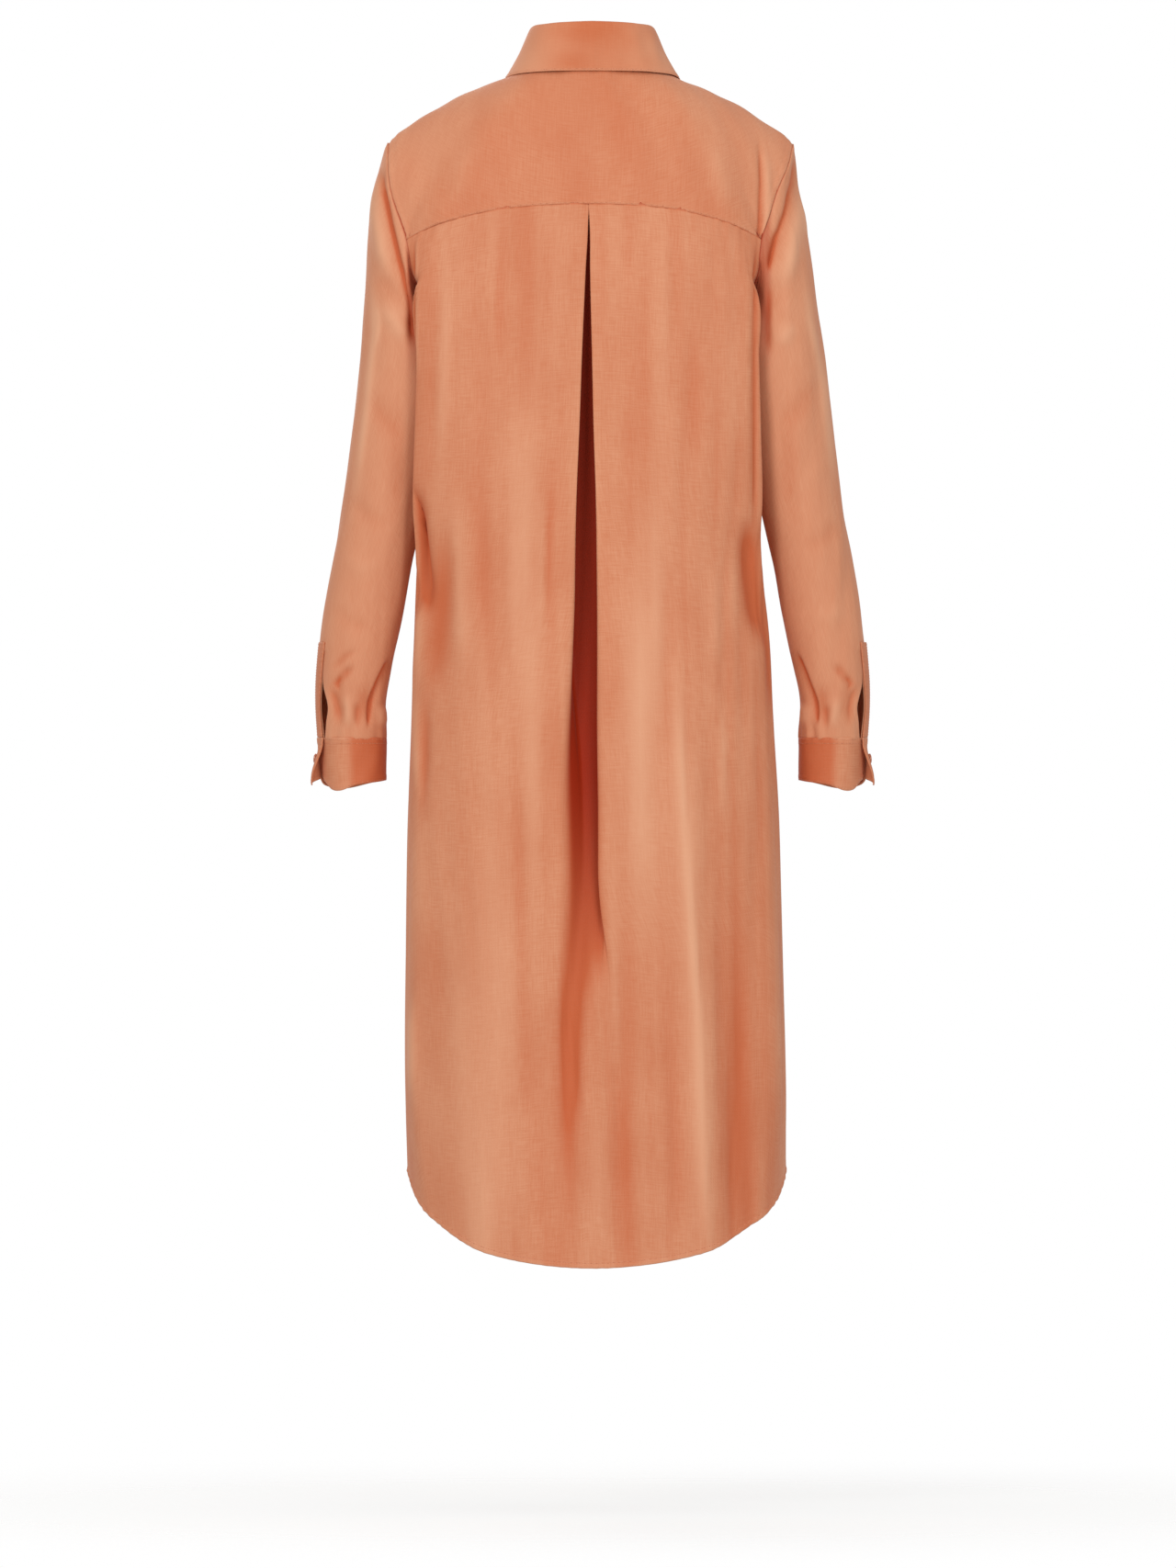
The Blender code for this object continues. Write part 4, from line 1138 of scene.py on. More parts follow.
@dataclass(frozen=True)
class PaintedFloor(Finish):
    """Matt white emulsion on a studio floor, which gives the light back evenly.

    It thins out into the bright room, so that no edge shows.
    """

    name: str = "matt_white_floor_paint"
    painted: str = "#FAF9F7"
    cover: float = 0.4
    solid_radius: float = 0.25
    clear_radius: float = 1.3
    roughness: float = 0.85

    def surface(self, tree: bpy.types.NodeTree) -> bpy.types.NodeSocket:
        """The paint, clearer and clearer outwards."""
        place = add_node(tree, "ShaderNodeTexCoord").outputs["Object"]
        distance = add_node(tree, "ShaderNodeVectorMath", {0: place}, operation="LENGTH").outputs["Value"]
        fading = {0: distance, 1: self.solid_radius, 2: self.clear_radius, 3: self.cover, 4: 0.0}
        cover = add_node(tree, "ShaderNodeMapRange", fading, interpolation_type="SMOOTHSTEP").outputs[0]
        grain = add_node(tree, "ShaderNodeTexNoise", {"Vector": place, "Scale": 60.0, "Detail": 3.0}).outputs["Fac"]
        bump = add_node(tree, "ShaderNodeBump", {"Strength": 0.1, "Distance": 0.001, "Height": grain}).outputs[0]
        painted = {"Base Color": linear(self.painted), "Roughness": self.roughness, "Normal": bump}
        paint = add_node(tree, "ShaderNodeBsdfPrincipled", painted).outputs[0]
        clear = add_node(tree, "ShaderNodeBsdfTransparent").outputs[0]
        return add_node(tree, "ShaderNodeMixShader", {0: cover, 1: clear, 2: paint}).outputs[0]


class Slot(Enum):
    """The record's material slots."""

    CLOTH = "terracotta_cloth"
    TRIM = "terracotta_trim"
    BUTTON = "dyed_button"


PRESSED_CLOTH = WovenCloth("viscose_linen_plain_weave_pressed", dyed="#CD7953", roughness=0.62)
DOUBLED_CLOTH = WovenCloth(
    "viscose_linen_plain_weave_doubled", dyed="#C96F47", thin_dyed="#CF7C54", deep_dyed="#BF6138"
)


@dataclass
class Finishes:
    """The dress's finishes, each made once."""

    cloth: bpy.types.Material = field(default_factory=WovenCloth().build)
    trim: bpy.types.Material = field(default_factory=PRESSED_CLOTH.build)
    doubled: bpy.types.Material = field(default_factory=DOUBLED_CLOTH.build)
    thread: bpy.types.Material = field(default_factory=SpunThread().build)
    resin: bpy.types.Material = field(default_factory=CastResin().build)


def place_piece(piece: bpy.types.Object, nodes: Sequence[str] = ()) -> bpy.types.Object:
    """Puts a piece on the dress.

    Args:
        piece: the piece.
        nodes: the frame's nodes that it stands for.

    Returns:
        The piece.
    """
    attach(piece, BODY)
    if nodes:
        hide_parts(*nodes)
    LOG.info("%s: %d faces", piece.name, len(piece.data.polygons))
    return piece


def lay_cloth(
    cloth: ClothSheet, node: str, wall: float, material: bpy.types.Material
) -> bpy.types.Object:
    """Makes the cloth that stands for one of the frame's nodes, and is named after it.

    Args:
        cloth: its sheet.
        node: the node.
        wall: the cloth's thickness.
        material: its finish.

    Returns:
        The piece.
    """
    return place_piece(cloth.build(f"{node}_cloth", wall, material), [node])


# --------------------------------------------------------------------------- stitching


@dataclass(frozen=True)
class Stitching:
    """A lockstitched seam's upper thread: short stitches that sink in at both ends."""

    # Real thread is 0.3 mm thick; it is drawn twice as thick so that it shows
    radius: float = 0.32
    stitch: float = 2.3
    pitch: float = 3.0
    sink: float = 0.25
    sides: int = 5
    stations: tuple[Spot, ...] = ((0.0, 0.45), (0.3, 1.0), (0.7, 1.0), (1.0, 0.45))

    def sew(self, name: str, runs: Sequence[Run], material: bpy.types.Material) -> bpy.types.Object:
        """Makes the stitches along lines on the cloth.

        Args:
            name: the piece's name.
            runs: for each line, its points and the outward directions there.
            material: the thread's finish.

        Returns:
            One object with all the stitches.
        """
        stitches = []
        for line, ways in runs:
            steps = np.linalg.norm(np.diff(line, axis=0), axis=1)
            reach = np.concatenate(((0,), np.cumsum(steps)))
            for start in np.arange(self.pitch / 2, reach[-1] - self.stitch, self.pitch):
                at = start + self.stitch * np.array([share for share, _ in self.stations])
                centres = np.column_stack([np.interp(at, reach, line[:, axis]) for axis in range(3)])
                up = np.column_stack([np.interp(at, reach, ways[:, axis]) for axis in range(3)])
                stitches.append((centres, up))
        return self.whole(name, stitches, material)

    def whole(self, name: str, stitches: Sequence[Run], material: bpy.types.Material) -> bpy.types.Object:
        """Makes one stitch along each short line, which has a point for each station.

        Args:
            name: the piece's name.
            stitches: for each stitch, its points and the outward directions there.
            material: the thread's finish.

        Returns:
            One object with all the stitches.
        """
        turn = 2 * np.pi * np.arange(self.sides) / self.sides
        widths = np.array([width for _, width in self.stations])
        count = len(widths)
        places, faces = [], []
        for centres, up in stitches:
            base = len(places) * count * self.sides
            along = np.gradient(centres, axis=0)
            along /= np.linalg.norm(along, axis=1)[:, None]
            over = np.cross(along, up)
            over /= np.linalg.norm(over, axis=1)[:, None]
            up = np.cross(over, along)
            middle = centres - up * (self.sink * (1 - widths))[:, None]
            circle = np.cos(turn)[None, :, None] * over[:, None] + np.sin(turn)[None, :, None] * up[:, None]
            rings = middle[:, None] + circle * (self.radius * widths)[:, None, None]
            places.append(rings.reshape(-1, 3))
            for index in range(count - 1):
                low = base + index * self.sides
                for side in range(self.sides):
                    other = (side + 1) % self.sides
                    faces.append((low + side, low + other, low + self.sides + other, low + self.sides + side))
            last = base + (count - 1) * self.sides
            faces.append(tuple(base + side for side in range(self.sides))[::-1])
            faces.append(tuple(last + side for side in range(self.sides)))
        return show(name, smooth_mesh(name, np.concatenate(places), faces, material))


def sew_on(name: str, runs: Sequence[Run], finishes: Finishes) -> bpy.types.Object:
    """Makes the stitches that show along a seam's lines, named after it."""
    return place_piece(Stitching().sew(f"{name}_stitches", runs, finishes.thread))


# --------------------------------------------------------------------------- back


class PleatSection(NamedTuple):
    """Half of the folded box pleat at a level: widths from its middle, depths inwards."""

    level: float
    mouth: float
    inner: float
    mid_depth: float
    under_depth: float


class WaveSection(NamedTuple):
    """The pleat where it has opened into soft troughs, a deep left one and a late right one."""

    level: float
    left_x: float
    left_depth: float
    left_half: float
    right_x: float
    right_depth: float


# The share of a half panel beside its side seam where creases fade
SIDE_MARGIN = 0.14
# How much painted shade a seam's edges get
SEAM_SHADE = 0.45

# Folds that run from the yoke into the back panel, behind the arms
SHOULDER_CREASES = (
    Crease(
        ((-176, -62), (-178, -112), (-177, -165), (-172, -215), (-171, -300), (-171, -400), (-172, -490)),
        2.6, -3.6, 0.1,
    ),
    Crease(((-183, -70), (-185, -120), (-184, -170), (-183, -215)), 4.5, 1.8, 0.3),
    Crease(((189, -168), (189.5, -200), (190, -250), (189, -330)), 2.4, -2.6, 0.2, tone=1.5),
    Crease(((185.5, -168), (185.5, -200), (185.5, -250), (185, -330)), 1.8, 1, 0.2, tone=1.6),
    Crease(((120, -60), (136, -100), (150, -150)), 9, 1),
    Crease(((-118, -66), (-134, -105), (-146, -150)), 9, 1.3),
)
BACK_CREASES = (
    # The long ridge right of the pleat, low and broad with a sharper crest
    Crease(((-77, -540), (-95, -760), (-112, -1000), (-124, -1330)), 19, 5.4, tone=0.3),
    Crease(
        ((-85, -590), (-91, -718), (-99, -854), (-110, -988), (-113, -1077), (-122, -1300)),
        5, 3, 0.2, -0.2, tone=1,
    ),
    Crease(((-138, -760), (-154, -1040), (-164, -1400)), 22, -6.5, 0.45, tone=0.5),
    Crease(((-84, -900), (-86, -1036), (-92, -1260)), 11, -3, 0.45, tone=0.4),
    Crease(((-136, -660), (-136, -800)), 3.4, 1.6, tone=1.6),
    Crease(((-126, -500), (-132, -640)), 5, 1.4),
    Crease(((-148, -480), (-147, -610)), 5, 1.4),
    # The two troughs and the ridge that the pleat opens into
    Crease(((30, -930), (25, -1000), (23, -1060), (22, -1130)), 7, -2.2, 0.4, 0.2),
    Crease(((-24, -1020), (-31, -1110), (-37, -1230)), 8, -1),
    Crease(((-2, -1060), (-4, -1280)), 13, 1),
    # The evenly lit left, with its edge
    Crease(((108, -760), (116, -1000), (122, -1400)), 30, 3, 0.35, tone=0.7),
    Crease(((62, -900), (66, -1060), (60, -1300)), 16, -1.2, tone=0.6),
    Crease(((143, -420), (141, -540), (136, -660)), 10, 2.4),
    Crease(((118, -400), (116, -640)), 9, -1.6),
    Crease(((76, -300), (74, -460), (78, -640)), 14, 1.6),
    Crease(((45, -400), (44, -620)), 3.5, -1.4),
    Crease(((53, -420), (53, -640)), 4, 1.2),
    Crease(((-23, -560), (-24, -700)), 5, -1.4),
    Crease(((-24, -230), (-23, -380)), 5, -1.3),
    Crease(((-60, -380), (-64, -560), (-62, -720)), 12, 1.8),
    Crease(((-46, -480), (-50, -700), (-54, -960)), 20, 1.4, tone=1.8),
    Crease(((70, -480), (74, -700), (80, -900)), 24, 1.2, tone=1.2),
    Crease(((-104, -260), (-106, -420)), 9, -1.2),
    Crease(((99, -165), (99, -310)), 6, -1.5),
    Crease(((152, -175), (158, -330), (160, -430)), 7, 1.4),
    Crease(((190, -620), (187, -700), (184, -780)), 4, 2.2, 0.35, tone=1.3),
    Crease(((192, -960), (190, -1100)), 5, 2.2, tone=1.3),
    Crease(((170, -860), (166, -1100)), 14, -1, tone=0.8),
    # Hollows beside the arms
    Crease(((191, -430), (184, -500), (177, -580)), 9, -14, 0.3, tone=0.6),
    Crease(((150, -470), (160, -560), (172, -680)), 14, -2.4, tone=1.3),
    Crease(((181, -540), (184, -600), (190, -668)), 4.5, 3),
    Crease(((176, -640), (178, -720), (180, -800)), 6, -2.8),
    Crease(((-164, -460), (-170, -530), (-179, -612)), 11, -11, 0.35, tone=0.6),
    Crease(((-184, -560), (-189, -620), (-192, -690)), 5, -4),
)


@dataclass
class BackPanel:
    """The back panel with its inverted box pleat and curved hem."""

    wall: float = 0.7
    pleat_join: float = 72
    # The folds lie flat where they run this far in behind the panel
    flat_run: float = 18
    # The pleat opens sooner on the wearer's left, softly, than on the right
    left_opens: Spot = (540, 770)
    right_opens: Spot = (840, 985)
    # How far the right fold has drawn in over the pleat's middle
    right_drift: tuple[Spot, ...] = ((140, 0), (640, 0), (760, 2), (860, 6), (960, 8), (1259, 8))
    right_half: float = 12
    wave_shares: tuple[float, ...] = (0, 0.12, 0.26, 0.34, 0.5, 0.68, 0.88, 1)
    wave_places: tuple[float, ...] = (72, 52, 31, 23, 15.5, 9, 3.5, 0)
    hem_width: float = 6.5
    seam_tuck: float = 5.0
    # How far the seam's edge and the allowance under it are drawn in below the yoke
    seam_dip: float = 0.25
    tuck_dip: float = 0.62
    # The pleat's folds get painted deep shade down to the first level, and none at the second
    deep_shade_to: Spot = (730, 1020)
    # A depth this far into the folds gets the full painted deep shade, and one this far into the open troughs the
    # full painted shade
    deep_shade_depth: float = 9.0
    trough_depth: float = 7.0
    pleat: tuple[PleatSection, ...] = (
        PleatSection(140, 0.5, 32, 2.6, 6.0),
        PleatSection(170, 1.5, 32, 3.5, 9),
        PleatSection(220, 3.0, 32, 6, 15),
        PleatSection(300, 5.6, 31, 9, 22),
        PleatSection(373, 7.6, 30, 11, 26),
        PleatSection(450, 10.4, 28, 12, 29),
        PleatSection(520, 11.6, 25, 13, 30),
        PleatSection(600, 12, 22, 13, 29),
        PleatSection(690, 11, 19, 13, 27),
        PleatSection(772, 12, 17, 12, 23),
        PleatSection(860, 14, 16, 9, 17),
    )
    wave: tuple[WaveSection, ...] = (
        WaveSection(640, 2, 28, 17, -18, 0),
        WaveSection(760, 3, 22, 17, -19, 0),
        WaveSection(860, 7, 15, 15, -20, 0),
        WaveSection(940, 15, 11, 14, -20, 0.3),
        WaveSection(1020, 23, 8.5, 14, -23, 1.2),
        WaveSection(1100, 26, 6.5, 13, -28, 2.4),
        WaveSection(1170, 27, 3.5, 13, -33, 3),
        WaveSection(1259, 28, 2, 15, -38, 2.5),
    )

    def folded(self, levels: np.ndarray, share: np.ndarray, side: int) -> tuple[np.ndarray, np.ndarray]:
        """The folded pleat's cloth from the panel, under itself and back to its middle.

        Args:
            levels: levels down the panel.
            share: places along the cloth, 0 on the panel and 1 in the underlay's middle.
            side: 1 for the wearer's left, -1 for the right.

        Returns:
            Distances from the pleat's middle and depths, for each level and share.
        """
        table = np.array([tuple(row) for row in self.pleat])
        mouth, inner, mid, under = curve(table[:, 0], table[:, 1:], levels).T
        if side < 0:
            mouth = mouth - curve_through(self.right_drift, levels)
        run = inner - mouth
        flat = np.clip(run / self.flat_run, 0, 1)
        slack = 1 - flat
        drop = under - mid
        zero = np.zeros_like(mouth)
        # Places along the cloth, with the width and the depth there: round the mouth's edge, in
        # under the panel, and back along the underlay
        stations = (
            (0.00, zero + self.pleat_join, zero),
            (0.12, (self.pleat_join + mouth) / 2 + 3, zero),
            (0.26, mouth + 5 + slack * 6, zero + 0.2 - slack * 0.8),
            (0.34, mouth, np.minimum(1.6 + slack * mid * 0.4, mid * 0.55)),
            (0.42, mouth + 0.18 * run + flat * 1.5, mid),
            (0.52, mouth + 0.55 * run, mid + slack * drop * 0.3),
            (0.62, mouth + 0.9 * run, mid + slack * drop * 0.6),
            (0.68, inner + flat * 2.0, (mid + under) / 2 + slack * drop * 0.3),
            (0.75, inner - flat * 3 - slack * inner * 0.25, under),
            (0.88, inner * 0.45, under),
            (1.00, zero, under),
        )
        knots = [station[0] for station in stations]
        xs = curve(knots, [station[1] for station in stations], share)
        depths = curve(knots, [station[2] for station in stations], share)
        return xs.T, depths.T

    def opened(self, levels: np.ndarray, share: np.ndarray, side: int) -> tuple[np.ndarray, np.ndarray]:
        """The pleat as soft troughs, over the same width of the panel.

        Args:
            levels: levels down the panel.
            share: places along the cloth, 0 on the panel and 1 in the middle.
            side: 1 for the wearer's left, -1 for the right.

        Returns:
            Distances from the pleat's middle and depths, for each level and share.
        """
        table = np.array([tuple(row) for row in self.wave])
        left_x, left_depth, left_half, right_x, right_depth = curve(table[:, 0], table[:, 1:], levels).T[..., None]
        x = curve(self.wave_shares, self.wave_places, share)[None] + np.zeros_like(left_x)
        depth = left_depth * np.exp(-(((side * x - left_x) / left_half) ** 2))
        depth += right_depth * np.exp(-(((side * x - right_x) / self.right_half) ** 2))
        return x, depth * (1 - (x / self.pleat_join) ** 4)

    def sheet(self) -> ClothSheet:
        """The panel's sheet, rows from the yoke seam to the hem and columns from right to left."""
        levels = near_edges(BACK_KNOTS[0], BACK_KNOTS[-1], 196, 12, 1.5)
        column = levels[:, None]
        outer_shares = np.linspace(0, 1, 54) ** 1.25
        # Closest together round the folds
        runs = ((0, 0.22, 7), (0.25, 0.44, 15), (0.47, 0.8, 12), (0.84, 1, 5))
        shares = np.concatenate([np.linspace(*run) for run in runs])
        join = across_at(self.pleat_join, BACK_KNOTS, BACK_NET, levels)
        outer = 1 + (join[:, None] - 1) * outer_shares[None]
        halves = []
        for side in (-1, 1):
            flat_x, flat_depth = self.folded(levels, shares, side)
            wave_x, wave_depth = self.opened(levels, shares, side)
            toward = smooth_step(0.5 + side * (1 - shares) / 0.9)[None]
            opened = (1 - toward) * between(column, *self.right_opens) + toward * between(column, *self.left_opens)
            path_x = (1 - opened) * flat_x + opened * wave_x
            path_depth = (1 - opened) * flat_depth + opened * wave_depth
            inner = join[:, None] * path_x / self.pleat_join
            half = np.concatenate((outer, inner[:, 1:]), axis=1)
            halves.append((half, np.concatenate((np.zeros_like(outer), path_depth[:, 1:]), axis=1)))
        (right, right_depth), (left, left_depth) = halves
        across = np.concatenate((-right, left[:, -2::-1]), axis=1)
        depth = np.concatenate((right_depth, left_depth[:, -2::-1]), axis=1)
        points = net_points(BACK_NET, BACK_KNOTS, across, levels)
        top = back_seam_edge(across[0])
        points += (top - points[0])[None] * fade(levels, levels[0], TOP_FADE)[:, None, None]
        fit_edges(points, across, levels, BACK_TURN)
        points[..., 1] -= depth
        cloth = ClothSheet(leaned(points), outward=-1)
        # Painted deep red shade in the pleat's folds, and painted shade in the troughs it opens into
        cloth.painted_deep_shade = smooth_step((depth - 1.5) / self.deep_shade_depth) * (1 - between(column, *self.deep_shade_to))
        cloth.relief -= np.clip(depth / self.trough_depth, 0, 1.3) * between(column, 640, 840)

        # Creases stay clear of the side seams, and of the pleat's mouth where it is still folded
        from_side = smooth_step((1 - np.abs(across)) / SIDE_MARGIN)
        from_pleat = between(np.abs(cloth.points[..., 0] - 6), 16, 30)
        keep = from_side * np.maximum(from_pleat, between(column, 900, 1020))
        cloth.crease(SHOULDER_CREASES, from_side)
        cloth.crease(BACK_CREASES, keep)
        waves = cloth.waves(Ripple(11, 0.55, 46, 420), Ripple(12, 0.22, 17, 260))
        # The waves get painted highlight on their crests and painted shade in their hollows; long streaks down the
        # cloth and broad clouds vary its tone
        cloth.relief += waves * 0.13 + cloth.waves(Ripple(13, 0.1, 26, 900)) + cloth.waves(Ripple(14, 0.05, 70, 700))
        cloth.raise_by(waves * keep * between(column, 146, 196))
        cloth.pucker(Edge.TOP, 0.32, 16, 13, seed=21)
        cloth.turned_edge(Edge.BOTTOM, self.hem_width, 0.55, 0.35, self.hem_width - 1)
        cloth.pucker(Edge.BOTTOM, 0.35, 9, 15, seed=22)

        # The seam allowance runs on up under the yoke, less and less towards the armholes
        rise = cloth.points[0] - cloth.points[1]
        up = rise / np.linalg.norm(rise, axis=1)[:, None]
        ends = smooth_step((1 - np.abs(across[0])) / 0.05)[:, None]
        tucked = cloth.points[0] - cloth.normals()[0] * self.tuck_dip + up * self.seam_tuck * ends
        cloth.points[0] -= cloth.normals()[0] * self.seam_dip
        cloth.add_row(tucked)
        # Painted deep shade on the allowance under the yoke
        cloth.painted_deep_shade[0] = 1.0
        # The seam's edges get painted shade too
        cloth.relief[:2] -= SEAM_SHADE
        return cloth

    def build(self, finishes: Finishes) -> None:
        """Makes the panel and its hem's stitches.

        Args:
            finishes: the dress's finishes.
        """
        cloth = self.sheet()
        panel = lay_cloth(cloth, "back_panel", self.wall, finishes.cloth)
        stitches = sew_on("back_hem", [cloth.line(Edge.BOTTOM, self.hem_width - 1, self.wall / 2)], finishes)


# The worn shoulders' rise over the form, and the share of it that is left at the armhole
SHOULDER_LIFT = 6.0
SHOULDER_EDGE = 0.5


def shoulder_rise(shares: np.ndarray) -> np.ndarray:
    """How far the shoulders stand up, more on the wearer's left, at places round the yoke."""
    over = SHOULDER_LIFT * np.exp(-(((np.abs(shares) - 0.84) / 0.17) ** 2)) * (1 + 0.2 * np.sign(shares))
    return over * smooth_step((1 - np.abs(shares)) / 0.12)


@dataclass
class BackYoke:
    """The yoke over the back and shoulders, down to the front yoke seams."""

    wall: float = 0.7
    stitch_inset: float = 1.6
    # The stretch of its outer edge that is edge-stitched, between the armholes' corners
    stitched: Spot = (0.25, 0.75)
    # Its lines are averaged over so many neighbours on each side, most with the near ones
    rounding_reach: int = 24
    rounding_width: float = 11.0
    # How much painted highlight the shoulders get, how much darker the whole yoke is, and how much painted shade lies
    # under the collar
    shoulder_highlight: float = 0.42
    yoke_darkening: float = 0.2
    under_collar_shade: float = 1.0

    def sheet(self) -> ClothSheet:
        """The yoke's sheet, rows from the neck outwards and columns from right front to left."""
        down = np.concatenate((np.linspace(0, 0.93, 60)[:-1], np.linspace(0.93, 1, 9)))
        shares = np.linspace(-1, 1, 241)
        points = yoke_lines(shares, down)
        # The lines that meet at the armhole's corner leave a sharp ridge, which the cloth rounds off
        reach = self.rounding_reach
        weights = np.exp(-((np.arange(-reach, reach + 1) / self.rounding_width) ** 2))
        padded = np.concatenate((points[:, reach:0:-1], points, points[:, -2 : -reach - 2 : -1]), axis=1)
        soft = sum(w * padded[:, i : i + len(shares)] for i, w in enumerate(weights / weights.sum()))
        rounded = smooth_step((1 - down) / 0.3)[:, None] * smooth_step(down / 0.12)[:, None]
        rounded = rounded * smooth_step((1 - np.abs(shares)) / 0.2)[None]
        points += (soft - points) * rounded[..., None]
        # The shoulders stand up between the neck and the armholes, the left one more
        raised = smooth_step(down / 0.5) * (1 - (1 - SHOULDER_EDGE) * smooth_step((down - 0.92) / 0.08))
        points[..., 2] += raised[:, None] * shoulder_rise(shares)[None]
        along_seam = np.abs(shares) <= YOKE_CORNER_SHARE
        points[-1, along_seam, 2] += GAPS.half_seam
        points[:, (0, -1), 1] += GAPS.front_yoke / 2
        outward = (points[1] - points[0]) / np.linalg.norm(points[1] - points[0], axis=1)[:, None]
        near_neck = np.clip(1 - down / 0.3, 0, 1)[:, None, None]
        points += outward[None] * GAPS.neck * near_neck
        cloth = ClothSheet(leaned(points), outward=-1)
        # Painted highlight on the shoulders, where the light falls from above; the whole yoke is a little darker
        shoulders = smooth_step((np.abs(shares) - 0.25) / 0.35)[None] * smooth_step(down / 0.3)[:, None]
        cloth.relief += self.shoulder_highlight * shoulders - self.yoke_darkening
        cloth.crease(SHOULDER_CREASES)
        cloth.raise_by(cloth.waves(Ripple(31, 0.5, 60, 150)) * smooth_step(down / 0.2)[:, None])
        cloth.relief += cloth.waves(Ripple(33, 0.06, 90, 170))
        # Painted shade under the collar
        cloth.relief -= self.under_collar_shade - smooth_step(down / 0.1)[:, None]
        # Painted shade at the seam's edge
        cloth.relief[-1] -= SEAM_SHADE
        cloth.pucker(Edge.BOTTOM, 0.3, 12, 12, seed=32)
        cloth.turned_edge(Edge.BOTTOM, 7.0, 0.5, 0.3, self.stitch_inset)
        return cloth

    def build(self, finishes: Finishes) -> None:
        """Makes the yoke and its edge-stitching.

        Args:
            finishes: the dress's finishes.
        """
        cloth = self.sheet()
        yoke = lay_cloth(cloth, "back_yoke", self.wall, finishes.cloth)
        runs = [cloth.line(Edge.BOTTOM, self.stitch_inset, self.wall / 2, *self.stitched)]
        runs += [cloth.line(edge, self.stitch_inset, self.wall / 2) for edge in (Edge.START, Edge.END)]
        stitches = sew_on("back_yoke", runs, finishes)


# --------------------------------------------------------------------------- front


FRONT_CREASES = (
    front_crease(((95, -130), (88, -260), (96, -420)), 16, -3.4),
    front_crease(((-102, -140), (-92, -250), (-99, -380)), 14, -3.2),
    front_crease(((60, -470), (66, -700), (74, -1000), (80, -1300)), 17, 6.4, 0.35, tone=0.2),
    front_crease(((-72, -540), (-80, -780), (-92, -1080), (-96, -1300)), 16, 7, 0.35, tone=0.2),
    front_crease(((128, -640), (140, -900), (146, -1280)), 20, -7, 0.35, tone=0.2),
    front_crease(((-126, -700), (-138, -960), (-142, -1280)), 22, -7.6, 0.35, tone=0.2),
    front_crease(((104, -820), (108, -1000), (110, -1260)), 8, 3),
    front_crease(((-50, -760), (-56, -980)), 8, -2.4),
    front_crease(((38, -880), (40, -1180)), 9, -2.2),
    front_crease(((178, -470), (180, -540), (184, -600)), 9, -8, tone=0.2),
    front_crease(((-178, -460), (-181, -530), (-186, -596)), 9, -7.5, tone=0.2),
    front_crease(((172, -150), (160, -200), (150, -270)), 7, -3.4),
    front_crease(((-172, -146), (-161, -206), (-149, -280)), 7, -3.6),
    front_crease(((44, -250), (40, -380)), 6, 1.5),
    front_crease(((-46, -300), (-44, -460)), 6, 1.5),
)


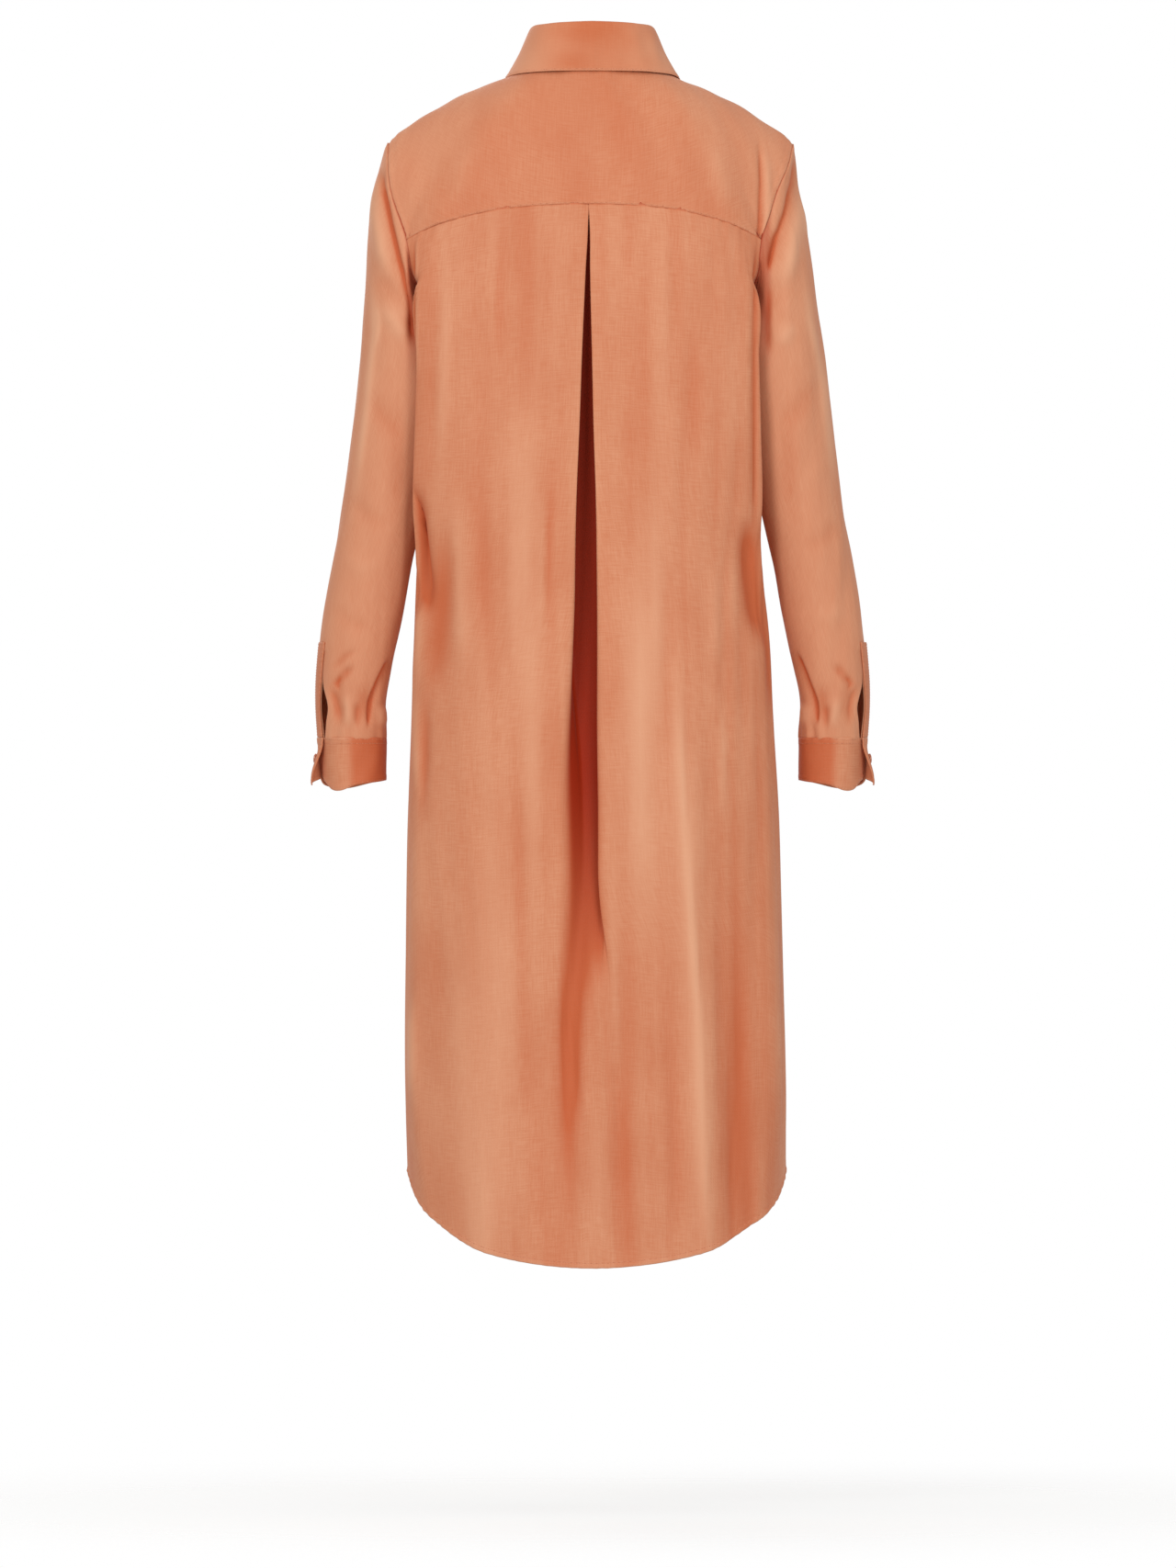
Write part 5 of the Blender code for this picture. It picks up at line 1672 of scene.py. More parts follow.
@dataclass
class Fronts:
    """Both fronts, and the band down the right one's edge."""

    wall: float = 0.7
    band_half_wide: float = 15
    underlap: float = 12
    underlap_depth: float = 2.0
    hem_width: float = 6.5
    band_wall: float = 1.1
    band_stitch: float = 4.0

    def levels(self) -> np.ndarray:
        """The rows' levels."""
        return near_edges(FRONT_KNOTS[0], FRONT_KNOTS[-1], 176, 12, 1.5)

    def points(self, levels: np.ndarray, across: np.ndarray) -> Points:
        """A stretch of the fronts, from the neckline and the yoke seams to the hem."""
        points = net_points(FRONT_NET, FRONT_KNOTS, across, levels)
        top = front_top_edge(across[0])
        points += (top - points[0])[None] * fade(levels, levels[0], TOP_FADE)[:, None, None]
        fit_edges(points, across, levels, FRONT_TURN)
        points[0, :, 1] -= GAPS.front_yoke / 2
        points[0, :, 2] -= GAPS.neck * np.clip(1 - np.abs(across[0]) / QUARTER, 0, 1)
        return points

    def fold(self, cloth: ClothSheet, across: np.ndarray, levels: np.ndarray, seed: int) -> None:
        """Creases a front, away from its side seam, band and top edge."""
        from_side = smooth_step((1 - np.abs(across)) / SIDE_MARGIN)
        from_band = between(np.abs(cloth.points[..., 0]), 18, 34)
        keep = from_side * from_band * between(levels[:, None], 64, 124)
        cloth.crease(FRONT_CREASES, keep)
        cloth.raise_by(cloth.waves(Ripple(seed, 0.55, 48, 420), Ripple(seed + 1, 0.2, 18, 260)) * keep)
        cloth.turned_edge(Edge.BOTTOM, self.hem_width, 0.55, 0.35, self.hem_width - 1)
        cloth.pucker(Edge.BOTTOM, 0.35, 9, 15, seed=seed + 2)

    def left_sheet(self) -> ClothSheet:
        """The left front, whose edge lies under the band."""
        levels, columns = self.levels(), np.linspace(0, 1, 84)
        start = across_at(-self.underlap, FRONT_KNOTS, FRONT_NET, levels)[:, None]
        across = start + (1 - start) * columns[None]
        points = self.points(levels, across)
        under = 1 - smooth_step((points[..., 0] - self.band_half_wide - 2) / 12)
        points[..., 1] += self.underlap_depth * under
        cloth = ClothSheet(leaned(points), outward=1)
        self.fold(cloth, across, levels, 41)
        return cloth

    def right_sheet(self) -> ClothSheet:
        """The right front, from its side seam to the band."""
        levels, columns = self.levels(), np.linspace(0, 1, 84)
        end = across_at(-self.band_half_wide - GAPS.seam, FRONT_KNOTS, FRONT_NET, levels)[:, None]
        across = -1 + (end + 1) * columns[None]
        cloth = ClothSheet(leaned(self.points(levels, across)), outward=1)
        self.fold(cloth, across, levels, 51)
        return cloth

    def band_sheet(self, levels: np.ndarray | None = None, columns: np.ndarray | None = None) -> ClothSheet:
        """The band, from the right front's edge over the left front's."""
        levels = self.levels() if levels is None else levels
        columns = np.linspace(0, 1, 21) if columns is None else columns
        half = across_at(self.band_half_wide, FRONT_KNOTS, FRONT_NET, levels)[:, None]
        points = self.points(levels, half * (2 * columns - 1)[None])
        return ClothSheet(leaned(points), outward=1)

    def build(self, finishes: Finishes) -> None:
        """Makes the fronts, the band and their stitches.

        Args:
            finishes: the dress's finishes.
        """
        for word, cloth in (("left", self.left_sheet()), ("right", self.right_sheet())):
            front = lay_cloth(cloth, f"front_{word}", self.wall, finishes.cloth)
            hem = cloth.line(Edge.BOTTOM, self.hem_width - 1, self.wall / 2)
            stitches = sew_on(f"front_{word}_hem", [hem], finishes)
        cloth = self.band_sheet()
        for edge in (Edge.START, Edge.END):
            cloth.turned_edge(edge, 6, 0.35, 0.25, self.band_stitch)
            cloth.pucker(edge, 0.18, 5, 16, seed=61)
        band = lay_cloth(cloth, "front_band", self.band_wall, finishes.trim)
        runs = [cloth.line(edge, self.band_stitch, self.band_wall / 2) for edge in (Edge.START, Edge.END)]
        stitches = sew_on("front_band", runs, finishes)


# --------------------------------------------------------------------------- collar


@dataclass
class Collar:
    """The stand round the neck and the fall that turns down over it."""

    wall: float = 1.1
    stand_heights: tuple[Spot, ...] = ((0, 36), (90, 34), (150, 29), (180, 27))
    stand_lean_in: float = 3
    stand_overlap: float = 9
    lap_depth: float = 1.35
    lap_angle: float = 150
    # The fall rounds out behind and flares at the sides
    fall_bulges: tuple[Spot, ...] = ((0, 1.5), (45, 1.2), (72, -0.6), (86, -1.4), (112, -1.2), (176, 1.2))
    fall_knots: tuple[float, ...] = (0, 0.08, 0.16, 0.26, 0.63, 1)
    fall_end: float = 176
    roll: tuple[Spot, ...] = ((0.0, 0.4), (0.6, 4.2), (3.6, 7.0), (7.2, 5.0))
    fall_edge: tuple[tuple[float, Place], ...] = (
        (0, (0, 69.8, 2.0)),
        (40, (57, 56, 1.6)),
        (78, (88, 18, -1.5)),
        (105, (92, -20, -9)),
        (135, (78, -60, -44)),
        (158, (62, -86, -76)),
        (176, (45, -101, -98)),
    )
    stitch_inset: float = 2.0

    def outward(self, angles: np.ndarray) -> Points:
        """Level directions away from the neck."""
        turn = np.radians(angles)
        return np.stack((np.sin(turn), np.cos(turn), np.zeros_like(turn)), axis=-1)

    def stand_points(self, angles: np.ndarray, up: Any) -> Points:
        """Points of the stand.

        Args:
            angles: angles from the centre back.
            up: shares of its height.

        Returns:
            Rows from the neck seam up, columns from its upper, right end.
        """
        base = neck_seam(angles)
        base[:, 2] += GAPS.neck
        turned = np.abs((angles + 180) % 360 - 180)
        height = curve_through(self.stand_heights, turned)
        lap = smooth_step((-self.lap_angle - angles) / 25) - smooth_step((angles - self.lap_angle) / 25)
        outward = self.outward(angles)
        base += outward * lap[:, None] * self.lap_depth
        rise = np.zeros_like(base)
        rise[:, 2] = height
        rise -= outward * self.stand_lean_in * np.cos(np.radians(turned / 2))[:, None]
        return leaned(base[None] + rise[None] * np.asarray(up, float)[:, None, None])

    def fall_points(self, angles: np.ndarray, down: np.ndarray) -> Points:
        """Points of the fall.

        Args:
            angles: angles from the centre back.
            down: shares of the way from the stand's top, over the roll, to the edge.

        Returns:
            Rows from the stand's top to the edge.
        """
        top = self.stand_points(angles, (1,))[0]
        outward = self.outward(angles)
        edge = curve_through(self.fall_edge, np.abs(angles))
        edge[:, 0] *= np.where(angles < 0, -1, 1)
        stations = [top + outward * out + np.array((0, 0, up)) for out, up in self.roll]
        middle = (stations[-1] + edge) / 2
        bulge = curve_through(self.fall_bulges, np.abs(angles))
        stations.append(middle + (outward + np.array((0, 0, 1))) * bulge[:, None])
        stations.append(edge)
        return np.einsum("ds,sac->dac", spline_weights(self.fall_knots, down), np.array(stations))

    def build(self, finishes: Finishes) -> None:
        """Makes the stand, the fall and their stitches.

        Args:
            finishes: the dress's finishes.
        """
        reach = 180 + self.stand_overlap
        stand_cloth = ClothSheet(self.stand_points(np.linspace(-reach, reach, 169), np.linspace(0, 1, 15)), 1)
        stand = lay_cloth(stand_cloth, "collar_stand", self.wall, finishes.cloth)
        lower = sew_on("collar_stand", [stand_cloth.line(Edge.TOP, self.stitch_inset, self.wall / 2)], finishes)

        angles = np.linspace(-self.fall_end, self.fall_end, 209)
        # Closest together round the roll and at the edge
        roll, middle = np.linspace(0, 0.26, 14)[:-1], np.linspace(0.26, 0.86, 20)[:-1]
        down = np.concatenate((roll, middle, np.linspace(0.86, 1, 9)))
        fall_cloth = ClothSheet(self.fall_points(angles, down), -1)
        free = smooth_step((down - 0.2) / 0.3)[:, None]
        # Its sides are paler than its middle
        fall_cloth.relief += (0.5 * smooth_step((np.abs(angles) - 4) / 62))[None]
        lower_half = 0.2 * smooth_step((down - 0.35) / 0.4)[:, None]
        fall_cloth.relief += fall_cloth.waves(Ripple(72, 0.05, 70, 50)) + lower_half
        fall_cloth.raise_by(fall_cloth.waves(Ripple(71, 0.35, 40, 90)) * free)
        fall_cloth.turned_edge(Edge.BOTTOM, 6.0, 0.25, 0.22, self.stitch_inset)
        fall = lay_cloth(fall_cloth, "collar_fall", self.wall, finishes.doubled)
        runs = [fall_cloth.line(Edge.BOTTOM, self.stitch_inset, self.wall / 2)]
        # The ends' stitches start past the roll
        runs += [fall_cloth.line(edge, self.stitch_inset, self.wall / 2, 0.3) for edge in (Edge.START, Edge.END)]
        upper = sew_on("collar_fall", runs, finishes)


# --------------------------------------------------------------------------- sleeves


LEFT_SLEEVE_CREASES = (
    # The cloth drops off the shoulder and folds beside the armhole, behind and in front
    Crease(((224, -96), (222, -118), (214, -159), (204, -199), (191, -231)), 3, -3.2, 0.15, tone=1.3),
    Crease(((226, -110), (218, -159), (208, -199), (192, -238)), 7, -2.6, 0.3, tone=0.6),
    Crease(((223, -117), (214, -159), (204, -199), (196, -232)), 2.4, -1.4, 0.15, tone=4),
    Crease(((201, -212), (193, -240), (190, -285)), 4, -3.6, 0.25, tone=1.4),
    Crease(((231, -96), (228, -150), (222, -190), (210, -226)), 8, 3, 0.35),
    Crease(((232, -212), (212, -230), (190, -248)), 10, -1.6, 0.35, tone=0.6),
    Crease(((226, -240), (208, -262), (192, -290)), 8, 2),
    Crease(((191, -250), (188, -294)), 8, -3.4),
    # Pale crests down its outer edge, with painted highlights
    Crease(
        ((237, -196), (231, -245), (229, -273), (234, -312), (238, -352), (244, -400), (252, -460)),
        4.4, 1.1, 0.3, facing=Facing.EITHER, tone=2.6,
    ),
    Crease(((227, -238), (225, -262), (228, -292)), 3, 0.8, tone=3),
    Crease(((240, -330), (222, -362), (198, -392)), 10, -1.3),
    Crease(((206, -330), (204, -420), (212, -500)), 9, -1.2, 0.35),
    Crease(((262, -440), (240, -468), (208, -480)), 9, -1.2, tone=0.6),
    Crease(((268, -505), (246, -522), (220, -517)), 8, 0.9, tone=0.6),
    Crease(((276, -560), (256, -580), (226, -592)), 8, -1.1, tone=0.6),
    # Above the cuff
    Crease(((212, -612), (229, -649), (235, -664), (238, -694)), 3.4, -3.4, 0.25, 0.25, tone=0.8),
    Crease(((216, -616), (227, -641), (232, -656), (234, -668), (238, -692)), 1.8, -1.8, 0.15, tone=3.2),
    Crease(((240, -640), (242, -664), (244, -690)), 8, -1.4, tone=1.6),
    Crease(((270, -636), (266, -664), (264, -686)), 6, -1.8, 0.35, tone=0.6),
    Crease(((266, -634), (272, -644), (267, -652)), 2.4, -1.2, 0.35, tone=2.4),
    Crease(((222, -664), (221, -692)), 5, 3, tone=1.4),
    Crease(((250, -624), (262, -634), (276, -650)), 4.4, -2.6, 0.35),
    Crease(((246, -606), (262, -616), (278, -632)), 4, -1.6),
    Crease(((278, -640), (272, -668), (266, -694)), 4.6, -3.2),
    Crease(((262, -650), (256, -694)), 5, 2.2),
    Crease(((248, -660), (249, -694)), 4, -2.4),
    front_crease(((226, -95), (216, -150), (202, -200)), 8, -5, 0.3),
    front_crease(((240, -230), (224, -270), (200, -312)), 10, -3),
    front_crease(((252, -400), (232, -440), (206, -462)), 10, -4),
    front_crease(((262, -450), (240, -482), (212, -500)), 9, 2.8),
    front_crease(((270, -520), (250, -548), (224, -556)), 9, -3.2),
    front_crease(((276, -600), (262, -650), (256, -690)), 6, -2.6),
    front_crease(((236, -630), (238, -690)), 6, 2.4),
)
RIGHT_SLEEVE_CREASES = (
    Crease(((-216, -82), (-212, -115), (-204, -148), (-194, -172), (-184, -212)), 3, -3.2, 0.15, tone=1.3),
    Crease(((-218, -96), (-210, -140), (-198, -176), (-184, -224)), 7, -2.6, 0.3, tone=0.6),
    Crease(((-194, -162), (-190, -182), (-183, -214)), 4.2, -2.4, 0.3, tone=2),
    Crease(((-187, -216), (-184, -250), (-185, -306)), 5, -3, 0.3, tone=1.2),
    Crease(((-224, -90), (-219, -145), (-209, -196), (-196, -244)), 8, 3, 0.35),
    Crease(((-208, -206), (-193, -236), (-182, -270)), 11, -1.8, 0.35, tone=0.6),
    Crease(((-212, -262), (-196, -290)), 8, 1.8),
    # Pale crests down its outer edge, with painted highlights
    Crease(((-222, -136), (-226, -172)), 3.2, 0.9, facing=Facing.EITHER, tone=3.6),
    Crease(
        ((-220, -198), (-225, -225), (-229, -262), (-238, -299), (-244, -330), (-250, -390), (-257, -450)),
        4.4, 1.1, 0.3, facing=Facing.EITHER, tone=2.6,
    ),
    Crease(((-240, -318), (-220, -352), (-196, -380)), 10, -1.2),
    Crease(((-203, -330), (-206, -420), (-213, -500)), 9, -1.2, 0.35),
    Crease(((-252, -400), (-232, -428), (-206, -440)), 9, 0.5, tone=0.6),
    Crease(((-266, -470), (-242, -494), (-214, -500)), 9, -1.2, tone=0.6),
    Crease(((-276, -560), (-250, -574), (-226, -570)), 8, 0.9, tone=0.6),
    Crease(((-213, -606), (-225, -638), (-234, -663), (-238, -690)), 3.4, -3.2, 0.25, -0.25, tone=0.8),
    Crease(((-215, -610), (-226, -634), (-232, -652), (-236, -668), (-238, -690)), 1.8, -1.8, 0.15, tone=3.2),
    Crease(((-240, -640), (-242, -664), (-244, -690)), 8, -1.4, tone=1.6),
    Crease(((-272, -636), (-268, -664), (-266, -686)), 6, -1.8, 0.35, tone=0.6),
    Crease(((-268, -634), (-274, -644), (-269, -652)), 2.4, -1.2, 0.35, tone=2.4),
    Crease(((-223, -662), (-222, -692)), 5, 2.8, tone=1.4),
    Crease(((-254, -622), (-264, -634), (-276, -648)), 4.4, -2.6, 0.35),
    Crease(((-280, -640), (-274, -668), (-270, -694)), 4.6, -3),
    Crease(((-258, -655), (-253, -694)), 5, 2.1),
    Crease(((-246, -664), (-246, -694)), 4, -2.2),
    front_crease(((-220, -92), (-212, -152), (-198, -206)), 8, -5, 0.3),
    front_crease(((-238, -236), (-222, -276), (-199, -306)), 10, -3),
    front_crease(((-250, -410), (-232, -444), (-206, -470)), 10, -3.8),
    front_crease(((-264, -462), (-240, -490), (-214, -508)), 9, 2.8),
    front_crease(((-270, -528), (-250, -552), (-226, -566)), 9, -3),
    front_crease(((-274, -604), (-262, -652), (-257, -690)), 6, -2.6),
    front_crease(((-238, -634), (-240, -690)), 6, 2.4),
)


@dataclass
class Sleeve:
    """A long sleeve, slit at the wrist, with its placket strip and its two-layered cuff."""

    side: Side
    creases: tuple[Crease, ...]
    seed: int
    wall: float = 0.7
    placket_wall: float = 0.9
    cuff_wall: float = 1.2
    cuff_stitch: float = 1.8
    seam_tuck: float = 3.2
    slit_radius: float = 37
    slit_angle: float = 32
    slit_top: float = -628
    slit_gape: tuple[Spot, ...] = ((-628, 0), (-644, 2.0), (-668, 12), (-686, 7), (-701, 2.4))
    # The strip keeps its place and the cloth beside it draws back from the slit
    strip_share: float = 0.15
    placket_wide: float = 22
    cuff_seam: float = -701
    cuff_lap: float = 24
    cuff_lap_depth: float = 1.6
    cuff_flare: float = 11
    # Creases fade this far from the armhole
    armhole_margin: float = 9
    # How far in from the cuff's wall the sleeve's end runs down
    cuff_tuck: float = 2.2
    # How much paler the sleeve is, and the painted shade it gets beside the body, down to a height
    sleeve_paleness: float = 0.3
    body_shade: float = 0.5
    body_reach: float = 195
    body_bottom: float = -335
    # How much painted shade the cuff gets on the half towards the body, and the angles there
    cuff_dye: float = 0.85
    cuff_shade_from: Spot = (48, 68)
    cuff_shade_to: Spot = (150, 210)
    # The over-lapping end draws back towards its lower corner, by this many degrees
    lap_slant: float = 15
    cuff_hems: tuple[Spot, ...] = (
        (0, -744), (25, -749), (45, -756), (66, -757), (95, -751), (135, -748), (180, -746), (230, -748), (290, -755),
        (335, -751), (360, -744),
    )

    def gape(self, z: np.ndarray) -> np.ndarray:
        """How far the slit stands open at heights."""
        return curve_through(self.slit_gape, z) * (z < self.slit_top)

    def cap(self, angles: np.ndarray, down: np.ndarray) -> Points:
        """The sleeve from the armhole to its first level section."""
        start = armhole(angles, 1)
        start[:, 0] += armhole_clearance(angles)
        rest = (YOKE_CORNER_ANGLE - (angles + 180) % 360 + 180) / (YOKE_CORNER_ANGLE - FRONT_CORNER_ANGLE)
        share = YOKE_CORNER_SHARE + (1 - YOKE_CORNER_SHARE) * rest
        start[:, 2] += SHOULDER_EDGE * shoulder_rise(share * self.side.value) * (share > 0)
        top_z = SLEEVE_RINGS[0].z
        end = sleeve_ring(np.full(angles.shape, top_z), angles, 1)
        step = 20
        below = sleeve_ring(np.full(angles.shape, top_z - step), angles, 1)
        length = np.linalg.norm(end - start, axis=1)[:, None]
        turn = np.radians(angles)
        # It leaves the armhole downwards and a little outwards
        leave = np.stack((0.15 + 0.1 * np.cos(turn), 0.12 * np.sin(turn), np.full_like(turn, -1)), -1)
        arrive = (below - end) / step
        down = down[:, None, None]
        points = hermite(start[None], leave[None] * length, end[None], arrive[None] * length, down)
        points[..., 0] *= self.side.value
        return leaned(points, 1 - down[..., 0])

    def sheet(self) -> ClothSheet:
        """The sleeve's sheet, rows from the armhole down and columns round it from the slit."""
        columns = np.linspace(0, 1, 169)
        down = np.linspace(0, 1, 57)[:-1] ** 1.1
        # Closer together from the slit down to the cuff
        runs = ((SLEEVE_RINGS[0].z, -600, 80), (-602.5, -694, 38), (-696, self.cuff_seam, 4))
        heights = np.concatenate([np.linspace(*run) for run in runs])
        angles = self.slit_angle + 360 * columns
        cap = self.cap(angles, down)
        z = heights[:, None]
        away = np.clip(1 - columns / 0.3, 0, 1) ** 1.5 * (1 - self.strip_share)
        away -= np.clip((columns - 0.92) / 0.08, 0, 1) * self.strip_share
        turned = angles[None] + np.degrees(self.gape(z) / self.slit_radius) * away[None]
        tube = sleeve_ring(z + np.zeros_like(turned), turned, self.side.value)
        cloth = ClothSheet(np.concatenate((cap, tube)), self.side.value, closed=True)
        first_open = len(cap) + int((heights >= self.slit_top).sum())

        from_armhole = smooth_step(cloth.distance_from(Edge.TOP) / self.armhole_margin)
        # Creases stay clear of the armhole and of the slit, down from a few rows above it
        beside = np.minimum(columns, 1 - columns)
        slit_rows = np.arange(len(cloth.points))[:, None] >= first_open - 8
        keep = from_armhole * np.where(slit_rows, smooth_step(beside / 0.05)[None], 1)
        cloth.crease(self.creases, keep)
        waves = cloth.waves(Ripple(self.seed, 0.55, 50, 190), Ripple(self.seed + 1, 0.2, 20, 120))
        cloth.raise_by(waves * keep)
        # The sleeves are paler than the back, and the cloth behind them beside the body gets painted shade
        cloth.relief += self.sleeve_paleness
        x, y, z = np.moveaxis(cloth.points, -1, 0)
        near_body = smooth_step((self.body_reach + 4 * self.side.value - np.abs(x)) / 7)
        near_body *= smooth_step((z - self.body_bottom) / 90)
        cloth.painted_deep_shade = np.maximum(cloth.painted_deep_shade, self.body_shade * near_body * smooth_step(y / 20))
        cloth.pucker(Edge.BOTTOM, 0.7, 22, 15, seed=self.seed + 2)
        cloth.pucker(Edge.TOP, 0.25, 10, 13, seed=self.seed + 3)
        cloth.points[:first_open, -1] = cloth.points[:first_open, 0]

        # The seam allowance runs on under the yoke and the panels
        tucked = cloth.points[0] + np.array((-self.side.value * self.seam_tuck, 0, -1.6))
        tucked[-1] = tucked[0]
        cloth.add_row(tucked)
        # Painted deep shade on the allowance under the seam
        cloth.painted_deep_shade[0] = 1.0
        cloth.add_row(cloth.points[-1] - cloth.normals()[-1] * self.cuff_tuck + np.array((0, 0, -5.0)), below=True)
        return cloth

    def placket_sheet(self) -> ClothSheet:
        """The strip over the slit's outer edge, lying on the sleeve."""
        z = np.linspace(-600, -701, 56)[:, None]
        edge = self.slit_angle - np.degrees(self.gape(z) * self.strip_share / self.slit_radius)
        columns = np.linspace(0, 1, 15)
        angles = edge - np.degrees(self.placket_wide / self.slit_radius) * (1 - columns)[None]
        points = sleeve_ring(z + np.zeros_like(angles), angles, self.side.value, 1.6)
        return ClothSheet(points, self.side.value)

    def cuff_points(self, columns: np.ndarray, down: np.ndarray) -> Points:
        """Points of the cuff, whose end laps over its start with its lower corner turned out."""
        lap = np.degrees(self.cuff_lap / self.slit_radius)
        start = self.slit_angle - lap
        angles = start + (360 + lap) * columns[None]
        over = smooth_step((angles - (self.slit_angle + 360 - lap - 40)) / 40)
        under = 1 - smooth_step((angles - self.slit_angle) / 40)
        hem_z = curve_through(self.cuff_hems, angles % 360)
        down = down[:, None]
        z = self.cuff_seam - GAPS.half_seam + (hem_z - self.cuff_seam) * down
        near_end = smooth_step((angles - (self.slit_angle + 360 - 34)) / 34)
        outward = self.cuff_lap_depth * (over - under) + self.cuff_flare * near_end * smooth_step(down * 1.15)
        return sleeve_ring(z, angles - near_end * self.lap_slant * down**2, self.side.value, outward)

    def cuff_sheet(self) -> ClothSheet:
        """The cuff's sheet, rows from the seam to the hem."""
        columns = np.linspace(0, 1, 161)
        cloth = ClothSheet(self.cuff_points(columns, np.linspace(0, 1, 35)), self.side.value)
        # Angles round it, which run over a full turn by the ends' overlap
        turned = columns * 396 - 33
        # Painted shade on the cuff's half towards the body
        painted_shade = between(turned, *self.cuff_shade_from) * (1 - between(turned, *self.cuff_shade_to))
        cloth.relief -= (self.cuff_dye * painted_shade)[None]
        cloth.raise_by(cloth.waves(Ripple(self.seed + 5, 0.35, 34, 60)))
        cloth.turned_edge(Edge.TOP, 7, 0.2, 0.15, self.cuff_stitch)
        cloth.turned_edge(Edge.BOTTOM, 6, 0.3, 0.25, self.cuff_stitch)
        cloth.pucker(Edge.TOP, 0.25, 7, 12, seed=self.seed + 6)
        return cloth

    def build(self, finishes: Finishes) -> None:
        """Makes the sleeve, its placket strip, its cuff and their stitches.

        Args:
            finishes: the dress's finishes.
        """
        word = self.side.word
        sleeve = lay_cloth(self.sheet(), f"sleeve_{word}", self.wall, finishes.cloth)

        strip = self.placket_sheet()
        placket = lay_cloth(strip, f"sleeve_placket_{word}", self.placket_wall, finishes.trim)
        ends = (Edge.START, Edge.END, Edge.TOP)
        sewn = sew_on(f"placket_{word}", [strip.line(edge, 1.6, self.placket_wall / 2) for edge in ends], finishes)

        band = self.cuff_sheet()
        cuff = lay_cloth(band, f"cuff_{word}", self.cuff_wall, finishes.cloth)
        # Round all its edges, and once more along the seam
        near, far = self.cuff_stitch, 6.0
        insets = ((Edge.TOP, near), (Edge.TOP, far), (Edge.BOTTOM, near), (Edge.START, near), (Edge.END, near))
        runs = [band.line(edge, inset, self.cuff_wall / 2) for edge, inset in insets]
        sewn = sew_on(f"cuff_{word}", runs, finishes)


# --------------------------------------------------------------------------- buttons


def surface_normal(down: Points, over: Points) -> Points:
    """Direction away from the garment, from steps down it and to the wearer's left."""
    normal = np.cross(down, over)
    return normal / np.linalg.norm(normal)


class Spots(NamedTuple):
    """Where a button is sewn on: its place in the cloth, the way out, the wall and the hole's run."""

    place: Points
    way: Points
    wall: float
    hole: Points


